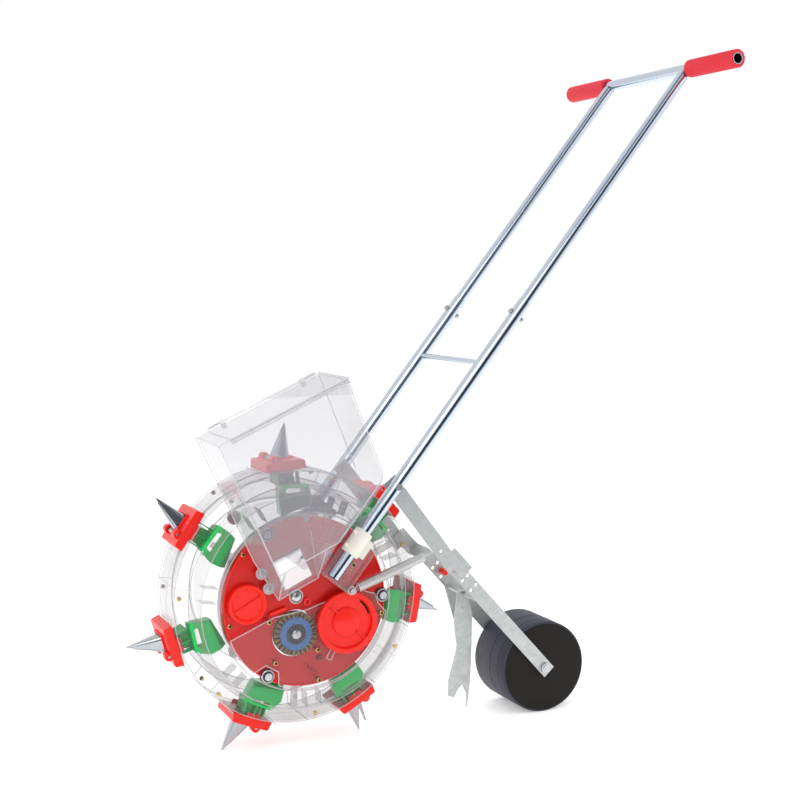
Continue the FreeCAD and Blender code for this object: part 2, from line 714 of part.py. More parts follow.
for place, hole in zip(("near", "far"), bolt_holes):
    for label, holes in (("lower_tube_" + place, [hole, pivot_hole]),
                         ("upper_tube_" + place, [hole])):
        cut_shape(pieces[label], Part.makeCompound(holes), label)
tube_piece("handle_bar", size("bar_radius"), size("bar_radius") - size("bar_wall"),
           size("bar_half") * 2, (handle_x, -size("bar_half"), handle_z))
for place, start in (("near", -size("bar_half")), ("far", size("grip_start"))):
    tube_piece("grip_" + place, size("grip_radius"), size("bar_radius"),
               size("bar_half") - size("grip_start"), (handle_x, start, handle_z))
rod_x, rod_z = up_tube(size("cross_rod_at"))
cross_half = size("tube_plane") - size("tube_radius")
tube_piece("cross_rod", size("cross_rod_radius"), None, cross_half * 2,
           (rod_x, -cross_half, rod_z))

tube_bolts = []
for side in (-1, 1):
    across = Vector(0, 0, 1)
    bolt_at = Vector(bolt_along, 0, 0)
    reach = size("tube_radius").value
    stem = Part.makeCylinder(2.4, 2 * reach + 9, bolt_at - across * (reach + 4.5), across)
    head = Part.makeCylinder(4.6, 3.2, bolt_at + across * (reach + 0.2), across)
    nut = Part.makeCylinder(4.4, 3.6, bolt_at - across * (reach + 3.8), across)
    tube_bolts.append(beside_tube(stem.fuse([head, nut]).removeSplitter(), side))
group("tube_bolts", tube_bolts)


# ---- tube brackets and saddle clamps -------------------------------------------------------------
tube_r = size("tube_radius").value
tray_back = size("tube_plane").value - size("bracket_face").value
tray_end, tray_top, tray_low, tray_wall = -6, 112, -38, 2.5
tray_high = tube_r + 2.4
ledge = 1.6
anchor_along, anchor_across = 2, -44
saddle_start, saddle_end, saddle_radius = 46, 90, tube_r + 4
for side, place in ((-1, "near"), (1, "far")):
    def flat(low_s, high_s, low_w, high_w, near, far, side=side):
        """A box along the tube, between two distances measured out from the tube's axis."""
        low, high = sorted((side * near, side * far))
        return Part.makeBox(high_s - low_s, high - low, high_w - low_w,
                            Vector(low_s, low, low_w))

    tray = flat(tray_end, tray_top, tray_low, tray_high, -tray_back, -tray_back + tray_wall)
    rim = [flat(tray_end, tray_end + tray_wall, tray_low, tray_high, -tray_back, 3),
           flat(tray_end, tray_top, tray_low, tray_low + tray_wall, -tray_back, 1),
           flat(tray_end, saddle_start - 1, tray_high - ledge, tray_high, -tray_back, 1),
           flat(saddle_end + 1, tray_top, tray_high - ledge, tray_high, -tray_back, 1)]
    lug = Part.makeCylinder(8, tray_wall, Vector(anchor_along, -side * tray_back, anchor_across),
                            Vector(0, side, 0))
    standoff = size("bracket_face").value - size("disc_face").value
    feet = [Part.makeCylinder(5, standoff, Vector(along, -side * tray_back, across),
                              Vector(0, -side, 0))
            for along, across in ((12, -24), (30, 8), (66, -28), (60, 8))]
    feature_of("tube_bracket_" + place, beside_tube(
        tray.fuse(rim + [lug] + feet).removeSplitter(), side))
    seat = -tray_back + tray_wall
    saddle = flat(saddle_start, saddle_end, -saddle_radius, tray_high, seat, 0)
    crown = Part.makeCylinder(saddle_radius, saddle_end - saddle_start,
                              Vector(saddle_start, 0, 0), Vector(1, 0, 0))
    ear = flat(saddle_start + 6, saddle_end - 6, -2 * saddle_radius, 0, seat, seat + 4.5)
    around = (saddle_start - 6, saddle_end + 5)
    saddle = saddle.fuse([crown.cut(flat(*around, -40, 40, -40, seat))
                          .cut(flat(*around, tray_high, 40, -40, 1)), ear])
    bore = Part.makeCylinder(tube_r, 60, Vector(saddle_start - 6, 0, 0), Vector(1, 0, 0))
    saddle = saddle.cut(bore)
    feature_of("saddle_clamp_" + place, beside_tube(saddle.removeSplitter(), side))

# ---- hopper -------------------------------------------------------------------------------------
lid_run = size("hopper_lid").value
hopper_back = size("hopper_back").value
hopper_drop = size("hopper_drop").value
hopper_low, hopper_high = -size("hopper_near").value, -size("hopper_far").value
hopper_wall = size("hopper_wall").value


def hopper_prism(inset, cap):
    """The hopper's block, drawn in from its walls by an inset and up to a top height."""
    shoulder = size("hopper_shoulder").value
    outline = [(inset, cap), (lid_run - inset, cap), (lid_run - 7 - inset, -shoulder),
               (105 - inset * 0.6, -hopper_back - 3 + inset),
               (size("mouth_end").value - inset, -hopper_drop + inset),
               (size("mouth_start").value + inset, -hopper_drop + inset),
               (inset, -hopper_back)]
    block = prism(outline, hopper_low + inset, hopper_high - inset)
    rise = (hopper_drop - hopper_back) / (hopper_high - hopper_low)
    lift = inset * 1.25
    corners = [(hopper_low - 5, -hopper_back + lift + 5 * rise),
               (hopper_high + 5, -hopper_drop + lift - 5 * rise),
               (hopper_high + 5, -400), (hopper_low - 5, -400)]
    points = [Vector(-20, y, z) for y, z in corners]
    wedge = Part.Face(Part.makePolygon(points + points[:1])).extrude(Vector(300, 0, 0))
    corner_edges = []
    block = block.cut(wedge)
    for edge in block.Edges:
        middle = edge.CenterOfMass
        along_y = abs(edge.tangentAt(edge.FirstParameter).y) > 0.99
        if along_y and abs(middle.x - (lid_run - 7 - inset)) < 1 and middle.z < -100:
            corner_edges.append(edge)
    return block.makeFillet(24 - inset, corner_edges)


def on_hopper(shape):
    """Tilt a shape drawn level, with the lid along +X, to the hopper's place."""
    moved = shape.copy()
    moved.rotate(Vector(), Vector(0, -1, 0), size("hopper_tilt").value)
    moved.translate(Vector(size("hopper_x").value, 0, size("hopper_z").value))
    return moved


window_end = size("mouth_end").value - 4
window_start = window_end - size("window_width").value
window_low = -hopper_drop + 4
neck_face = -size("disc_face").value
window = Part.makeBox(window_end - window_start, 40, size("window_width").value,
                      Vector(window_start, hopper_high - 20, window_low))
neck = Part.makeBox(window_end - window_start + 5, neck_face - hopper_high,
                    size("window_width").value + 5,
                    Vector(window_start - 2.5, hopper_high, window_low - 2.5))
lugs = [Part.makeCylinder(9, hopper_wall, Vector(4, hopper_high - hopper_wall, z),
                          Vector(0, 1, 0)) for z in (-246, -274)]
bosses = [Part.makeCylinder(4, neck_face - hopper_high, Vector(0, hopper_high, z),
                            Vector(0, 1, 0)) for z in (-246, -274)]
ledge = Part.makeBox(size("lid_ledge").value, hopper_high - hopper_low, hopper_wall,
                     Vector(0, hopper_low, 0))
hopper = hopper_prism(0, 0).cut(hopper_prism(hopper_wall, 1))
hopper = hopper.fuse([ledge, neck] + lugs + bosses).cut(window)
feature_of("hopper", on_hopper(hopper.removeSplitter()))

lid_wall = size("lid_wall").value
lid_low = GAP
lid_start = size("lid_ledge").value + GAP
hinge_y, hinge_z = hopper_high + 3.2, 3.4
lid = Part.makeBox(lid_run - lid_start + 2, hopper_high - hopper_low + 2 - GAP, lid_wall,
                   Vector(lid_start, hopper_low - 2, lid_low))
lip = Part.makeBox(lid_run - lid_start + 2, 1.6, 8,
                   Vector(lid_start, hopper_low - 2, lid_low + lid_wall - 8))
knuckles = []
for start in (lid_start + 6, lid_run - 24):
    knuckle = Part.makeCylinder(3, 18, Vector(start, hinge_y, hinge_z), Vector(1, 0, 0))
    knuckle = knuckle.fuse(Part.makeBox(18, 4, 2.4, Vector(start, hinge_y - 5, lid_low)))
    knuckles.append(knuckle.cut(Part.makeCylinder(1.3, 18, Vector(start, hinge_y, hinge_z),
                                                  Vector(1, 0, 0))))
ear_starts = (lid_start + 26, lid_run - 33)
lid = lid.fuse([lip] + knuckles).removeSplitter()
for start in ear_starts:
    lid = lid.cut(Part.makeBox(8, 12, 20, Vector(start - 0.5, hopper_high - 5.5, -10)))
feature_of("hopper_lid", on_hopper(lid))
pin = Part.makeCylinder(1.25, lid_run - lid_start - 6, Vector(lid_start + 3, hinge_y, hinge_z),
                        Vector(1, 0, 0))
ears = []
for start in ear_starts:
    ear = Part.makeBox(7, 6.4, 14.5, Vector(start, hopper_high, -8))
    ears.append(ear)
feature_of("hinge_pin", on_hopper(pin.fuse(ears).removeSplitter()))

# the housing is open behind the hopper's neck
seed_gate = on_hopper(Part.makeBox(window_end - window_start, 30, size("window_width").value,
                                   Vector(window_start, neck_face - 10, window_low)))
cut_shape(housing, seed_gate, "housing")

# ---- press roller and arm --------------------------------------------------------------------------
press_z = size("press_radius") - ground_depth
press = Vector(size("press_x").value, 0, press_z.value)
elbow = Vector(size("elbow_x").value, 0, size("elbow_z").value)
knee = Vector(size("knee_x").value, 0, size("knee_z").value)


def strip(start, end, width, low_y, high_y, before, after):
    """A flat strip along the line between two XZ points, run past both ends."""
    span = end.sub(start)
    bar = Part.makeBox(span.Length + before + after, high_y - low_y, width,
                       Vector(-before, low_y, -width / 2))
    bar.rotate(Vector(), Vector(0, -1, 0), math.degrees(math.atan2(span.z, span.x)))
    bar.translate(start)
    return bar


def drill(shape, x, z, radius):
    """Cut a hole along Y."""
    return shape.cut(Part.makeCylinder(radius, 400, Vector(x, -200, z), Vector(0, 1, 0)))


plate_out = size("tube_plane").value - tube_r - GAP
plate_in = plate_out - size("plate_gauge").value
bar_in = plate_in - size("bar_gauge").value
fork_in = size("fork_plane").value - size("bar_gauge").value
blade_gauge = 2.5
fork_holes = ((34, 7), (58, -6), (34, -6), (58, 7))
spring_hole = Vector(size("hook_x").value, 0, size("hook_z").value)
bar_along = press.sub(knee)
bar_along.normalize()
for side, place in ((-1, "near"), (1, "far")):
    low, high = sorted((side * plate_in, side * plate_out))
    upper = strip(pivot, elbow, size("plate_width").value, low, high, 12, 8)
    upper = drill(upper, pivot.x, pivot.z, pivot_radius)
    upper = drill(upper, spring_hole.x, spring_hole.z, 2.6)
    feature_of("arm_plate_" + place, upper)
    low, high = sorted((side * bar_in, side * plate_in))
    lap = strip(knee, press, size("bar_width").value, low, high, 42, -265)
    low, high = sorted((side * fork_in, side * plate_in))
    jog = strip(knee, press, size("bar_width").value, low, high, 0, -268)
    low, high = sorted((side * fork_in, side * (fork_in + size("bar_gauge").value)))
    fork = strip(knee, press, size("bar_width").value, low, high, 0, 12)
    fork_bar = lap.fuse([jog, fork]).removeSplitter()
    fork_bar = drill(fork_bar, press.x, press.z, size("axle_radius").value)
    for along, across in fork_holes:
        spot = knee + bar_along * along
        fork_bar = drill(fork_bar, spot.x - across * bar_along.z, spot.z + across * bar_along.x, 3.1)
    feature_of("fork_bar_" + place, fork_bar)

axle_end = fork_in + size("bar_gauge").value
axle = rod(Vector(press.x, -axle_end - 6, press.z), Vector(press.x, axle_end + 6, press.z),
           size("axle_radius").value)
for side in (-1, 1):
    axle = axle.fuse(rod(Vector(press.x, side * axle_end, press.z),
                         Vector(press.x, side * (axle_end + 4.5), press.z), 9))
feature_of("press_axle", axle.removeSplitter())
tie_radius = 4
tie_at = knee + bar_along * 82 - Vector(bar_along.z, 0, -bar_along.x) * -8
tie = rod(Vector(tie_at.x, -fork_in, tie_at.z),
          Vector(tie_at.x, fork_in - blade_gauge, tie_at.z), tie_radius)
feature_of("fork_tie", tie)

turn("press_roller", [(size("axle_radius") + size("run_fit"), -size("press_half")),
                      (size("press_radius"), -size("press_half")),
                      (size("press_radius"), size("press_half")),
                      (size("axle_radius") + size("run_fit"), size("press_half"))],
     (size("press_x"), press_z), hollow=[(size("axle_radius") + 10, 4 - size("press_half")),
                                         (size("press_radius") - 5, 4 - size("press_half")),
                                         (size("press_radius") - 5, size("press_half") - 4),
                                         (size("axle_radius") + 10, size("press_half") - 4)])

pivot_bolts = []
for side in (-1, 1):
    outer = size("tube_plane").value + tube_r
    stem = rod(Vector(pivot.x, side * (plate_in - 3.0), pivot.z),
               Vector(pivot.x, side * (outer + 2), pivot.z), pivot_radius - size("run_fit").value)
    nut = rod(Vector(pivot.x, side * (plate_in - 3.4), pivot.z),
              Vector(pivot.x, side * (plate_in - GAP), pivot.z), 5.6)
    head = rod(Vector(pivot.x, side * outer, pivot.z),
               Vector(pivot.x, side * (outer + 3.2), pivot.z), 5.6)
    pivot_bolts.append(stem.fuse([nut, head]).removeSplitter())
group("pivot_bolts", pivot_bolts)

# one forked covering blade hangs from the tie in the beaks' own line
blade_outline = [(316.3, -31.7), (330, -31), (344.6, -74.5), (343.2, -125.2), (339.5, -197.7),
                 (332.1, -246.2), (331.3, -220.4), (323.5, -202.9), (313.5, -212.5),
                 (307.4, -224.5), (295.6, -221), (296.9, -192.1), (304.1, -167.6),
                 (310.2, -148.5), (313.3, -130.7), (309.6, -106.7), (308.9, -81.4)]
blade = prism(blade_outline, -blade_gauge / 2, blade_gauge / 2)
flange = Part.makeBox(13, 9, 1.5, Vector(316.6, -9, -33.2))
blade = drill(blade.fuse(flange), tie_at.x, tie_at.z, tie_radius)
blade = drill(blade, 325, -64, 2)
feature_of("covering_blade", blade.removeSplitter())

# a gusset stiffens the far fork bar, and a capped stud stands beside it
gusset = prism([(312, -22), (350.1, -43.3), (377.5, -77.7), (354.7, -117.9), (335.3, -96.6),
                (316.8, -31.2)], fork_in - blade_gauge, fork_in)
feature_of("arm_gusset", gusset)
feature_of("stud_cap", rod(Vector(313.4, fork_in - 17, -8), Vector(313.4, fork_in, -8), 5.5))

# the tension spring pulls the near arm plate towards the bracket's lug
anchor = beside_tube(Part.Vertex(anchor_along, 0, anchor_across), -1).Point
anchor.y = -(size("bracket_face").value + 11)
hook = Vector(spring_hole.x, -(plate_in - 10.5), spring_hole.z)
pull = hook.sub(anchor)
pull.normalize()
coil_start = anchor + pull * 9
coil_end = hook - pull * 12
coil = rod(coil_start, coil_end, size("spring_radius").value, size("spring_radius").value - 2)
feature_of("press_spring", coil)
stud_out = 14
stud = screw(anchor.x, anchor.z, -size("bracket_face").value - tray_wall - stud_out, -1, 5, 2.2,
             stud_out, 3)
feature_of("spring_screw", stud)

# ---- check and write -----------------------------------------------------------------------------------
document.recompute()
for item in document.Objects:
    if "Invalid" in item.State or "Error" in item.State:
        raise RuntimeError("%s did not build: %s" % (item.Label, item.State))
whole = FreeCAD.BoundBox()
for label, piece in pieces.items():
    shape = piece.Shape
    if shape.isNull() or not shape.isValid() or not shape.Solids:
        raise RuntimeError("%s has no valid solid" % label)
    whole.add(shape.BoundBox)
print("pieces %d, origin shift %.3f %.3f" % (len(pieces), shift_x.value, shift_z.value))
print("box %.2f..%.2f  %.2f..%.2f  %.2f..%.2f" % (whole.XMin, whole.XMax, whole.YMin,
                                                  whole.YMax, whole.ZMin, whole.ZMax))
os.makedirs("parts", exist_ok=True)
for label, piece in pieces.items():
    piece.Shape.exportStep("parts/%s.step" % label)
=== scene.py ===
import logging
import math
from collections.abc import Callable
from dataclasses import dataclass, field
from enum import Enum

import bmesh
import bpy
import mathutils
import numpy as np
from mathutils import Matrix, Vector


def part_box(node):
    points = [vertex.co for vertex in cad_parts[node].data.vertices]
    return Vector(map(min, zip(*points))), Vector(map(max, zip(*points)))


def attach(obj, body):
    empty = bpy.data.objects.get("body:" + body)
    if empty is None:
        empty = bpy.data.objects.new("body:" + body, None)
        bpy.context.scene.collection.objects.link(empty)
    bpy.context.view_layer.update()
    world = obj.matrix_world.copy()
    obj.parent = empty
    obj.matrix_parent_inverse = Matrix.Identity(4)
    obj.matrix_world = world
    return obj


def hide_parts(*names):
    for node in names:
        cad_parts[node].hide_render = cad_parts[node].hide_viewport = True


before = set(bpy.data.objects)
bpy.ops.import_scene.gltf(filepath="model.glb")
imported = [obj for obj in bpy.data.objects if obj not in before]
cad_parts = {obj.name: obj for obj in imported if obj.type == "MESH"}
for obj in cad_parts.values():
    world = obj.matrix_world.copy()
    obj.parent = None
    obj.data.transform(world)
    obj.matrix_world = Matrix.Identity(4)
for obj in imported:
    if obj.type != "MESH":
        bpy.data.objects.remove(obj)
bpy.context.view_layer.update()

MM = 0.001
TURN = 2.0 * math.pi
# the beaks' hinge beside the holder's own radius, and the one beak that stands open
HINGE = (227.9, 14.9)
OPEN_BEAK = 5
OPEN_DEGREES = 14.0
# the guide bearings' circle, and where the handle's tubes start and how they lean
BEARING_CIRCLE = 133.5
TUBE_FOOT = (33.1, 43.6)
TUBE_DEGREES = 50.8
LOG = logging.getLogger("push_seeder")


# ---- finishes ------------------------------------------------------------------------------
def linear(code: str) -> tuple[float, float, float, float]:
    """Turn an sRGB hex value into a linear colour.

    Args:
        code: the colour as "#RRGGBB".

    Returns:
        Red, green, blue and a full alpha, in linear light.
    """
    parts = [int(code[place:place + 2], 16) / 255.0 for place in (1, 3, 5)]
    red, green, blue = [part / 12.92 if part <= 0.04045 else ((part + 0.055) / 1.055) ** 2.4
                        for part in parts]
    return (red, green, blue, 1.0)


def add_node(tree: bpy.types.NodeTree, kind: str, settings: dict | None = None,
             links: dict | None = None) -> bpy.types.Node:
    """Add a node with its settings and links.

    Args:
        tree: the node tree that gets it.
        kind: the node's type name.
        settings: attribute or input values by name.
        links: input name to the output socket that feeds it.

    Returns:
        The new node.
    """
    node = tree.nodes.new(kind)
    for name, value in (settings or {}).items():
        if name in node.inputs.keys():
            node.inputs[name].default_value = value
        else:
            setattr(node, name, value)
    for name, socket in (links or {}).items():
        tree.links.new(socket, node.inputs[name])
    return node


def per_metre(size_mm: float) -> float:
    """Texture scale whose features are about this many millimetres across.

    Args:
        size_mm: the feature's size in millimetres.

    Returns:
        The scale for a texture in metres.
    """
    return 1000.0 / size_mm


def blank(name: str) -> tuple[bpy.types.Material, bpy.types.NodeTree, bpy.types.NodeSocket]:
    """Start an empty node material.

    Args:
        name: the material's name.

    Returns:
        The material, its tree and the object-space coordinate socket.
    """
    material = bpy.data.materials.new(name)
    material.use_nodes = True
    material.node_tree.nodes.clear()
    place = add_node(material.node_tree, "ShaderNodeTexCoord").outputs["Object"]
    return material, material.node_tree, place


@dataclass(frozen=True)
class Finish:
    """An opaque finish: two close colours mottled together, with its own roughness and relief."""

    name: str
    base: str
    second: str
    roughness: float
    rough_spread: float
    metallic: float = 0.0
    mottle_mm: float = 8.0
    grain_mm: float = 1.2
    relief_mm: float = 0.03
    coat: float = 0.0
    stretch: tuple[float, float, float] = (1.0, 1.0, 1.0)
    crystal: bool = False

    def build(self) -> bpy.types.Material:
        """Make the node material for this finish.

        Returns:
            The material.
        """
        material, tree, place = blank(self.name)
        turned = add_node(tree, "ShaderNodeMapping", {"Scale": self.stretch}, {"Vector": place})
        if self.crystal:
            mottle = add_node(tree, "ShaderNodeTexVoronoi", {"Scale": per_metre(self.mottle_mm)},
                              {"Vector": turned.outputs[0]}).outputs["Color"]
            mottle = add_node(tree, "ShaderNodeSeparateColor", {}, {"Color": mottle}).outputs[0]
        else:
            mottle = add_node(tree, "ShaderNodeTexNoise",
                              {"Scale": per_metre(self.mottle_mm), "Detail": 3.0},
                              {"Vector": turned.outputs[0]}).outputs[0]
        grain = add_node(tree, "ShaderNodeTexNoise",
                         {"Scale": per_metre(self.grain_mm), "Detail": 2.0},
                         {"Vector": turned.outputs[0]}).outputs[0]
        colour = add_node(tree, "ShaderNodeMix", {"data_type": "RGBA"})
        colour.inputs[6].default_value = linear(self.base)
        colour.inputs[7].default_value = linear(self.second)
        tree.links.new(mottle, colour.inputs[0])
        rough = add_node(tree, "ShaderNodeMapRange",
                         {"To Min": self.roughness - self.rough_spread,
                          "To Max": self.roughness + self.rough_spread}, {"Value": mottle})
        relief = add_node(tree, "ShaderNodeBump",
                          {"Strength": 0.5, "Distance": self.relief_mm * MM}, {"Height": grain})
        shader = add_node(tree, "ShaderNodeBsdfPrincipled",
                          {"Metallic": self.metallic, "Coat Weight": self.coat,
                           "Specular IOR Level": 0.5 if self.metallic else 0.3,
                           "Coat Roughness": 0.08},
                          {"Base Color": colour.outputs[2], "Roughness": rough.outputs[0],
                           "Normal": relief.outputs[0]})
        add_node(tree, "ShaderNodeOutputMaterial", {}, {"Surface": shader.outputs[0]})
        return material


@dataclass(frozen=True)
class ClearFinish:
    """Clear moulded polycarbonate: nearly invisible face on, whiter and denser at a glance."""

    name: str
    tint: str
    face_alpha: float
    edge_alpha: float
    roughness: float = 0.08
    flow_mm: float = 60.0

    def build(self) -> bpy.types.Material:
        """Make the node material for this finish.

        Returns:
            The material.
        """
        material, tree, place = blank(self.name)
        flow = add_node(tree, "ShaderNodeTexNoise",
                        {"Scale": per_metre(self.flow_mm), "Detail": 2.0}, {"Vector": place})
        edge = add_node(tree, "ShaderNodeLayerWeight", {"Blend": 0.35})
        dense = add_node(tree, "ShaderNodeMapRange",
                         {"To Min": self.face_alpha, "To Max": self.edge_alpha},
                         {"Value": edge.outputs["Facing"]})
        rough = add_node(tree, "ShaderNodeMapRange",
                         {"To Min": self.roughness * 0.6, "To Max": self.roughness * 1.6},
                         {"Value": flow.outputs[0]})
        relief = add_node(tree, "ShaderNodeBump", {"Strength": 0.25, "Distance": 0.4 * MM},
                          {"Height": flow.outputs[0]})
        shader = add_node(tree, "ShaderNodeBsdfPrincipled",
                          {"Base Color": linear(self.tint), "IOR": 1.585},
                          {"Alpha": dense.outputs[0], "Roughness": rough.outputs[0],
                           "Normal": relief.outputs[0]})
        add_node(tree, "ShaderNodeOutputMaterial", {}, {"Surface": shader.outputs[0]})
        return material


class Look(Enum):
    """Every finish on the seeder."""

    # injection-moulded ABS: even colour, fine texture, soft gloss
    RED_ABS = Finish("red_moulded_abs", "#EE1A0A", "#E01507", 0.34, 0.05, coat=0.15)
    RED_DISC = Finish("red_disc_abs", "#CE140C", "#C21009", 0.34, 0.05, coat=0.1, mottle_mm=30)
    GREEN_ABS = Finish("green_moulded_abs", "#12BE58", "#0EAC4E", 0.32, 0.05, coat=0.15)
    # hot-dip galvanised sheet: pale grey with a faint crystal spangle
    GALVANISED = Finish("galvanised_sheet", "#C4C7C6", "#BABEBD", 0.44, 0.05, metallic=0.75,
                        mottle_mm=7, grain_mm=2, crystal=True)
    # thin plated sheet pressed into beaks: brighter and smoother than the bars
    BEAK_STEEL = Finish("pressed_beak_steel", "#B9BDC1", "#A8ADB2", 0.24, 0.05, metallic=1.0)
    # electroplated steel tube: mirror-like, with faint drawing lines
    PLATED_TUBE = Finish("plated_steel_tube", "#C6CFDA", "#B9C3CF", 0.13, 0.03, metallic=1.0,
                         mottle_mm=25, grain_mm=0.8, relief_mm=0.01)
    # zinc-plated steel screws and bearings, clear and yellow passivated
    ZINC = Finish("zinc_plated_hardware", "#C9CBCB", "#B4B7B8", 0.3, 0.08, metallic=1.0)
    YELLOW_ZINC = Finish("yellow_zinc_screws", "#D9BE86", "#B89450", 0.3, 0.08, metallic=1.0,
                         mottle_mm=3)
    # rotation-moulded polyethylene: matt, with a 1 mm pebble from the mould
    BLACK_PE = Finish("black_moulded_polyethylene", "#0D0805", "#120C08", 0.6, 0.06,
                      mottle_mm=18, grain_mm=1.0, relief_mm=0.08)
    # painted light: the roller's tread is coloured greyer than its ends, standing in for the light
    # on its lit side
    LIT_TREAD_PE = Finish("polyethylene_tread_painted_lit", "#3B3D48", "#32343E", 0.55, 0.06,
                        mottle_mm=14, grain_mm=1.0, relief_mm=0.1)
    # drawn spring wire, bright
    SPRING = Finish("bright_spring_wire", "#E6E6E4", "#D2D4D4", 0.3, 0.05, metallic=0.85)
    # the roots of the bristles, darker than their tips
    BRISTLE_BED = Finish("bristle_bed", "#6A563A", "#3E3120", 0.7, 0.1, mottle_mm=4)
    # closed-cell foam sleeve: matt, with cells under a millimetre wide
    RED_FOAM = Finish("red_foam_grip", "#D93442", "#CB2B38", 0.72, 0.06, mottle_mm=3,
                      grain_mm=0.9, relief_mm=0.25)
    # plain moulded nylon and polypropylene
    CREAM_NYLON = Finish("cream_nylon", "#E9E6DC", "#E0DCD0", 0.42, 0.05)
    # nylon bristles, uneven from hair to hair
    BRISTLE = Finish("tan_nylon_bristle", "#B59B6C", "#7B6238", 0.6, 0.1, mottle_mm=1.5)
    # plain moulded hub parts
    BLUE_PP = Finish("blue_polypropylene", "#4E7FB8", "#456FA6", 0.4, 0.05)
    # dark grey nylon; the same colour is also painted shade in the ring round each guide bearing
    DARK_NYLON_AND_SHADE = Finish("dark_grey_nylon_and_painted_shade", "#4A4D52", "#3C3F44", 0.45, 0.06)
    # painted shade: a dark colour standing in for the shade inside a slot or socket, where little
    # light reaches
    PAINTED_SHADE = Finish("painted_shade_slot", "#1A0706", "#120504", 0.7, 0.05)
    # clear polycarbonate: thin walls, the thicker hopper, and the moulded edges; the edges' whitish
    # colour is partly a painted highlight, beaded along the rim's corners
    CLEAR_SHELL = ClearFinish("clear_polycarbonate_shell", "#8E898D", 0.075, 0.42)
    CLEAR_HOPPER = ClearFinish("clear_polycarbonate_hopper", "#B9B7BD", 0.18, 0.27)
    CLEAR_EDGE_HIGHLIGHT = ClearFinish("clear_polycarbonate_edge_highlight", "#D9D6DA", 0.42, 0.75)
    # a softer red pad on the disc
    DARK_RED = Finish("dark_red_pad", "#8C1014", "#7A0C10", 0.5, 0.05)


_materials: dict[str, bpy.types.Material] = {}


def finish(look: Look) -> bpy.types.Material:
    """The material of a finish, made the first time it is asked for.

    Args:
        look: the finish.

    Returns:
        Its one material.
    """
    if look.name not in _materials:
        _materials[look.name] = look.value.build()
    return _materials[look.name]


# ---- surfaces -------------------------------------------------------------------------------
@dataclass
class Surface:
    """Points and faces of one surface, in millimetres of a local frame (a, y, c)."""

    points: np.ndarray
    faces: list

    def __add__(self, other: "Surface") -> "Surface":
        """This surface and another as one.

        Args:
            other: the surface to add.

        Returns:
            Both together.
        """
        shift = len(self.points)
        faces = self.faces + [[corner + shift for corner in face] for face in other.faces]
        return Surface(np.vstack([self.points, other.points]), faces)


def join(surfaces: list[Surface]) -> Surface:
    """Several surfaces as one.

    Args:
        surfaces: at least one surface.

    Returns:
        All of them together, in their order.
    """
    total = surfaces[0]
    for item in surfaces[1:]:
        total = total + item
    return total


def grid(points: np.ndarray, wrap_rows: bool = False, wrap_columns: bool = False) -> Surface:
    """Join a grid of points by quads.

    Args:
        points: rows by columns by three coordinates.
        wrap_rows: join the last row to the first.
        wrap_columns: join the last column to the first.

    Returns:
        The surface.
    """
    rows, columns = points.shape[:2]
    index = np.arange(rows * columns).reshape(rows, columns)
    if wrap_rows:
        index = np.vstack([index, index[:1]])
    if wrap_columns:
        index = np.hstack([index, index[:, :1]])
    quads = np.stack([index[:-1, :-1], index[1:, :-1], index[1:, 1:], index[:-1, 1:]], axis=-1)
    return Surface(points.reshape(-1, 3), quads.reshape(-1, 4).tolist())


def turned(profile: list, centre: tuple[float, float] = (0.0, 0.0), sides: int = 48,
           along_a: bool = False) -> Surface:
    """Turn a closed (radius, distance) loop about an axis along Y, or along the local a axis.

    Args:
        profile: closed loop of (radius, distance along the axis).
        centre: where the axis is, as (a, c), or (y, c) when it runs along a.
        sides: steps round the turn.
        along_a: the axis runs along the local a axis.

    Returns:
        A closed surface.
    """
    loop = np.array(profile, dtype=float)
    angle = np.linspace(0.0, TURN, sides, endpoint=False)[:, None]
    radius = np.maximum(loop[None, :, 0], 1e-3)
    across = centre[0] + radius * np.cos(angle)
    up = centre[1] + radius * np.sin(angle)
    along = np.broadcast_to(loop[None, :, 1], across.shape)
    order = [along, across, up] if along_a else [across, along, up]
    return grid(np.stack(order, axis=-1), True, True)


def prism(outline: list, low: float, high: float, taper: float = 0.0) -> Surface:
    """A prism between two Y planes.

    Args:
        outline: (a, c) corners.
        low: lower Y.
        high: higher Y.
        taper: how far the far end is drawn in towards the outline's middle, in millimetres.

    Returns:
        The closed prism.
    """
    corners = np.asarray(outline, dtype=float)
    inward = corners.mean(axis=0) - corners
    inward /= np.linalg.norm(inward, axis=1)[:, None]
    ends = []
    for level, drawn in ((low, 0.0), (high, taper)):
        shown = corners + inward * drawn
        ends.append(np.column_stack([shown[:, 0], np.full(len(corners), level), shown[:, 1]]))
    ring = np.arange(len(corners))
    after = np.roll(ring, -1)
    band = np.column_stack([ring, after, after + len(ring), ring + len(ring)])
    faces = band.tolist() + [ring[::-1].tolist(), (ring + len(ring)).tolist()]
    return Surface(np.vstack(ends), faces)


def block(low: tuple, high: tuple) -> Surface:
    """A box between two corners.

    Args:
        low: its lower corner (a, y, c).
        high: its upper corner (a, y, c).

    Returns:
        The closed box.
    """
    outline = [(low[0], low[2]), (high[0], low[2]), (high[0], high[2]), (low[0], high[2])]
    return prism(outline, low[1], high[1])


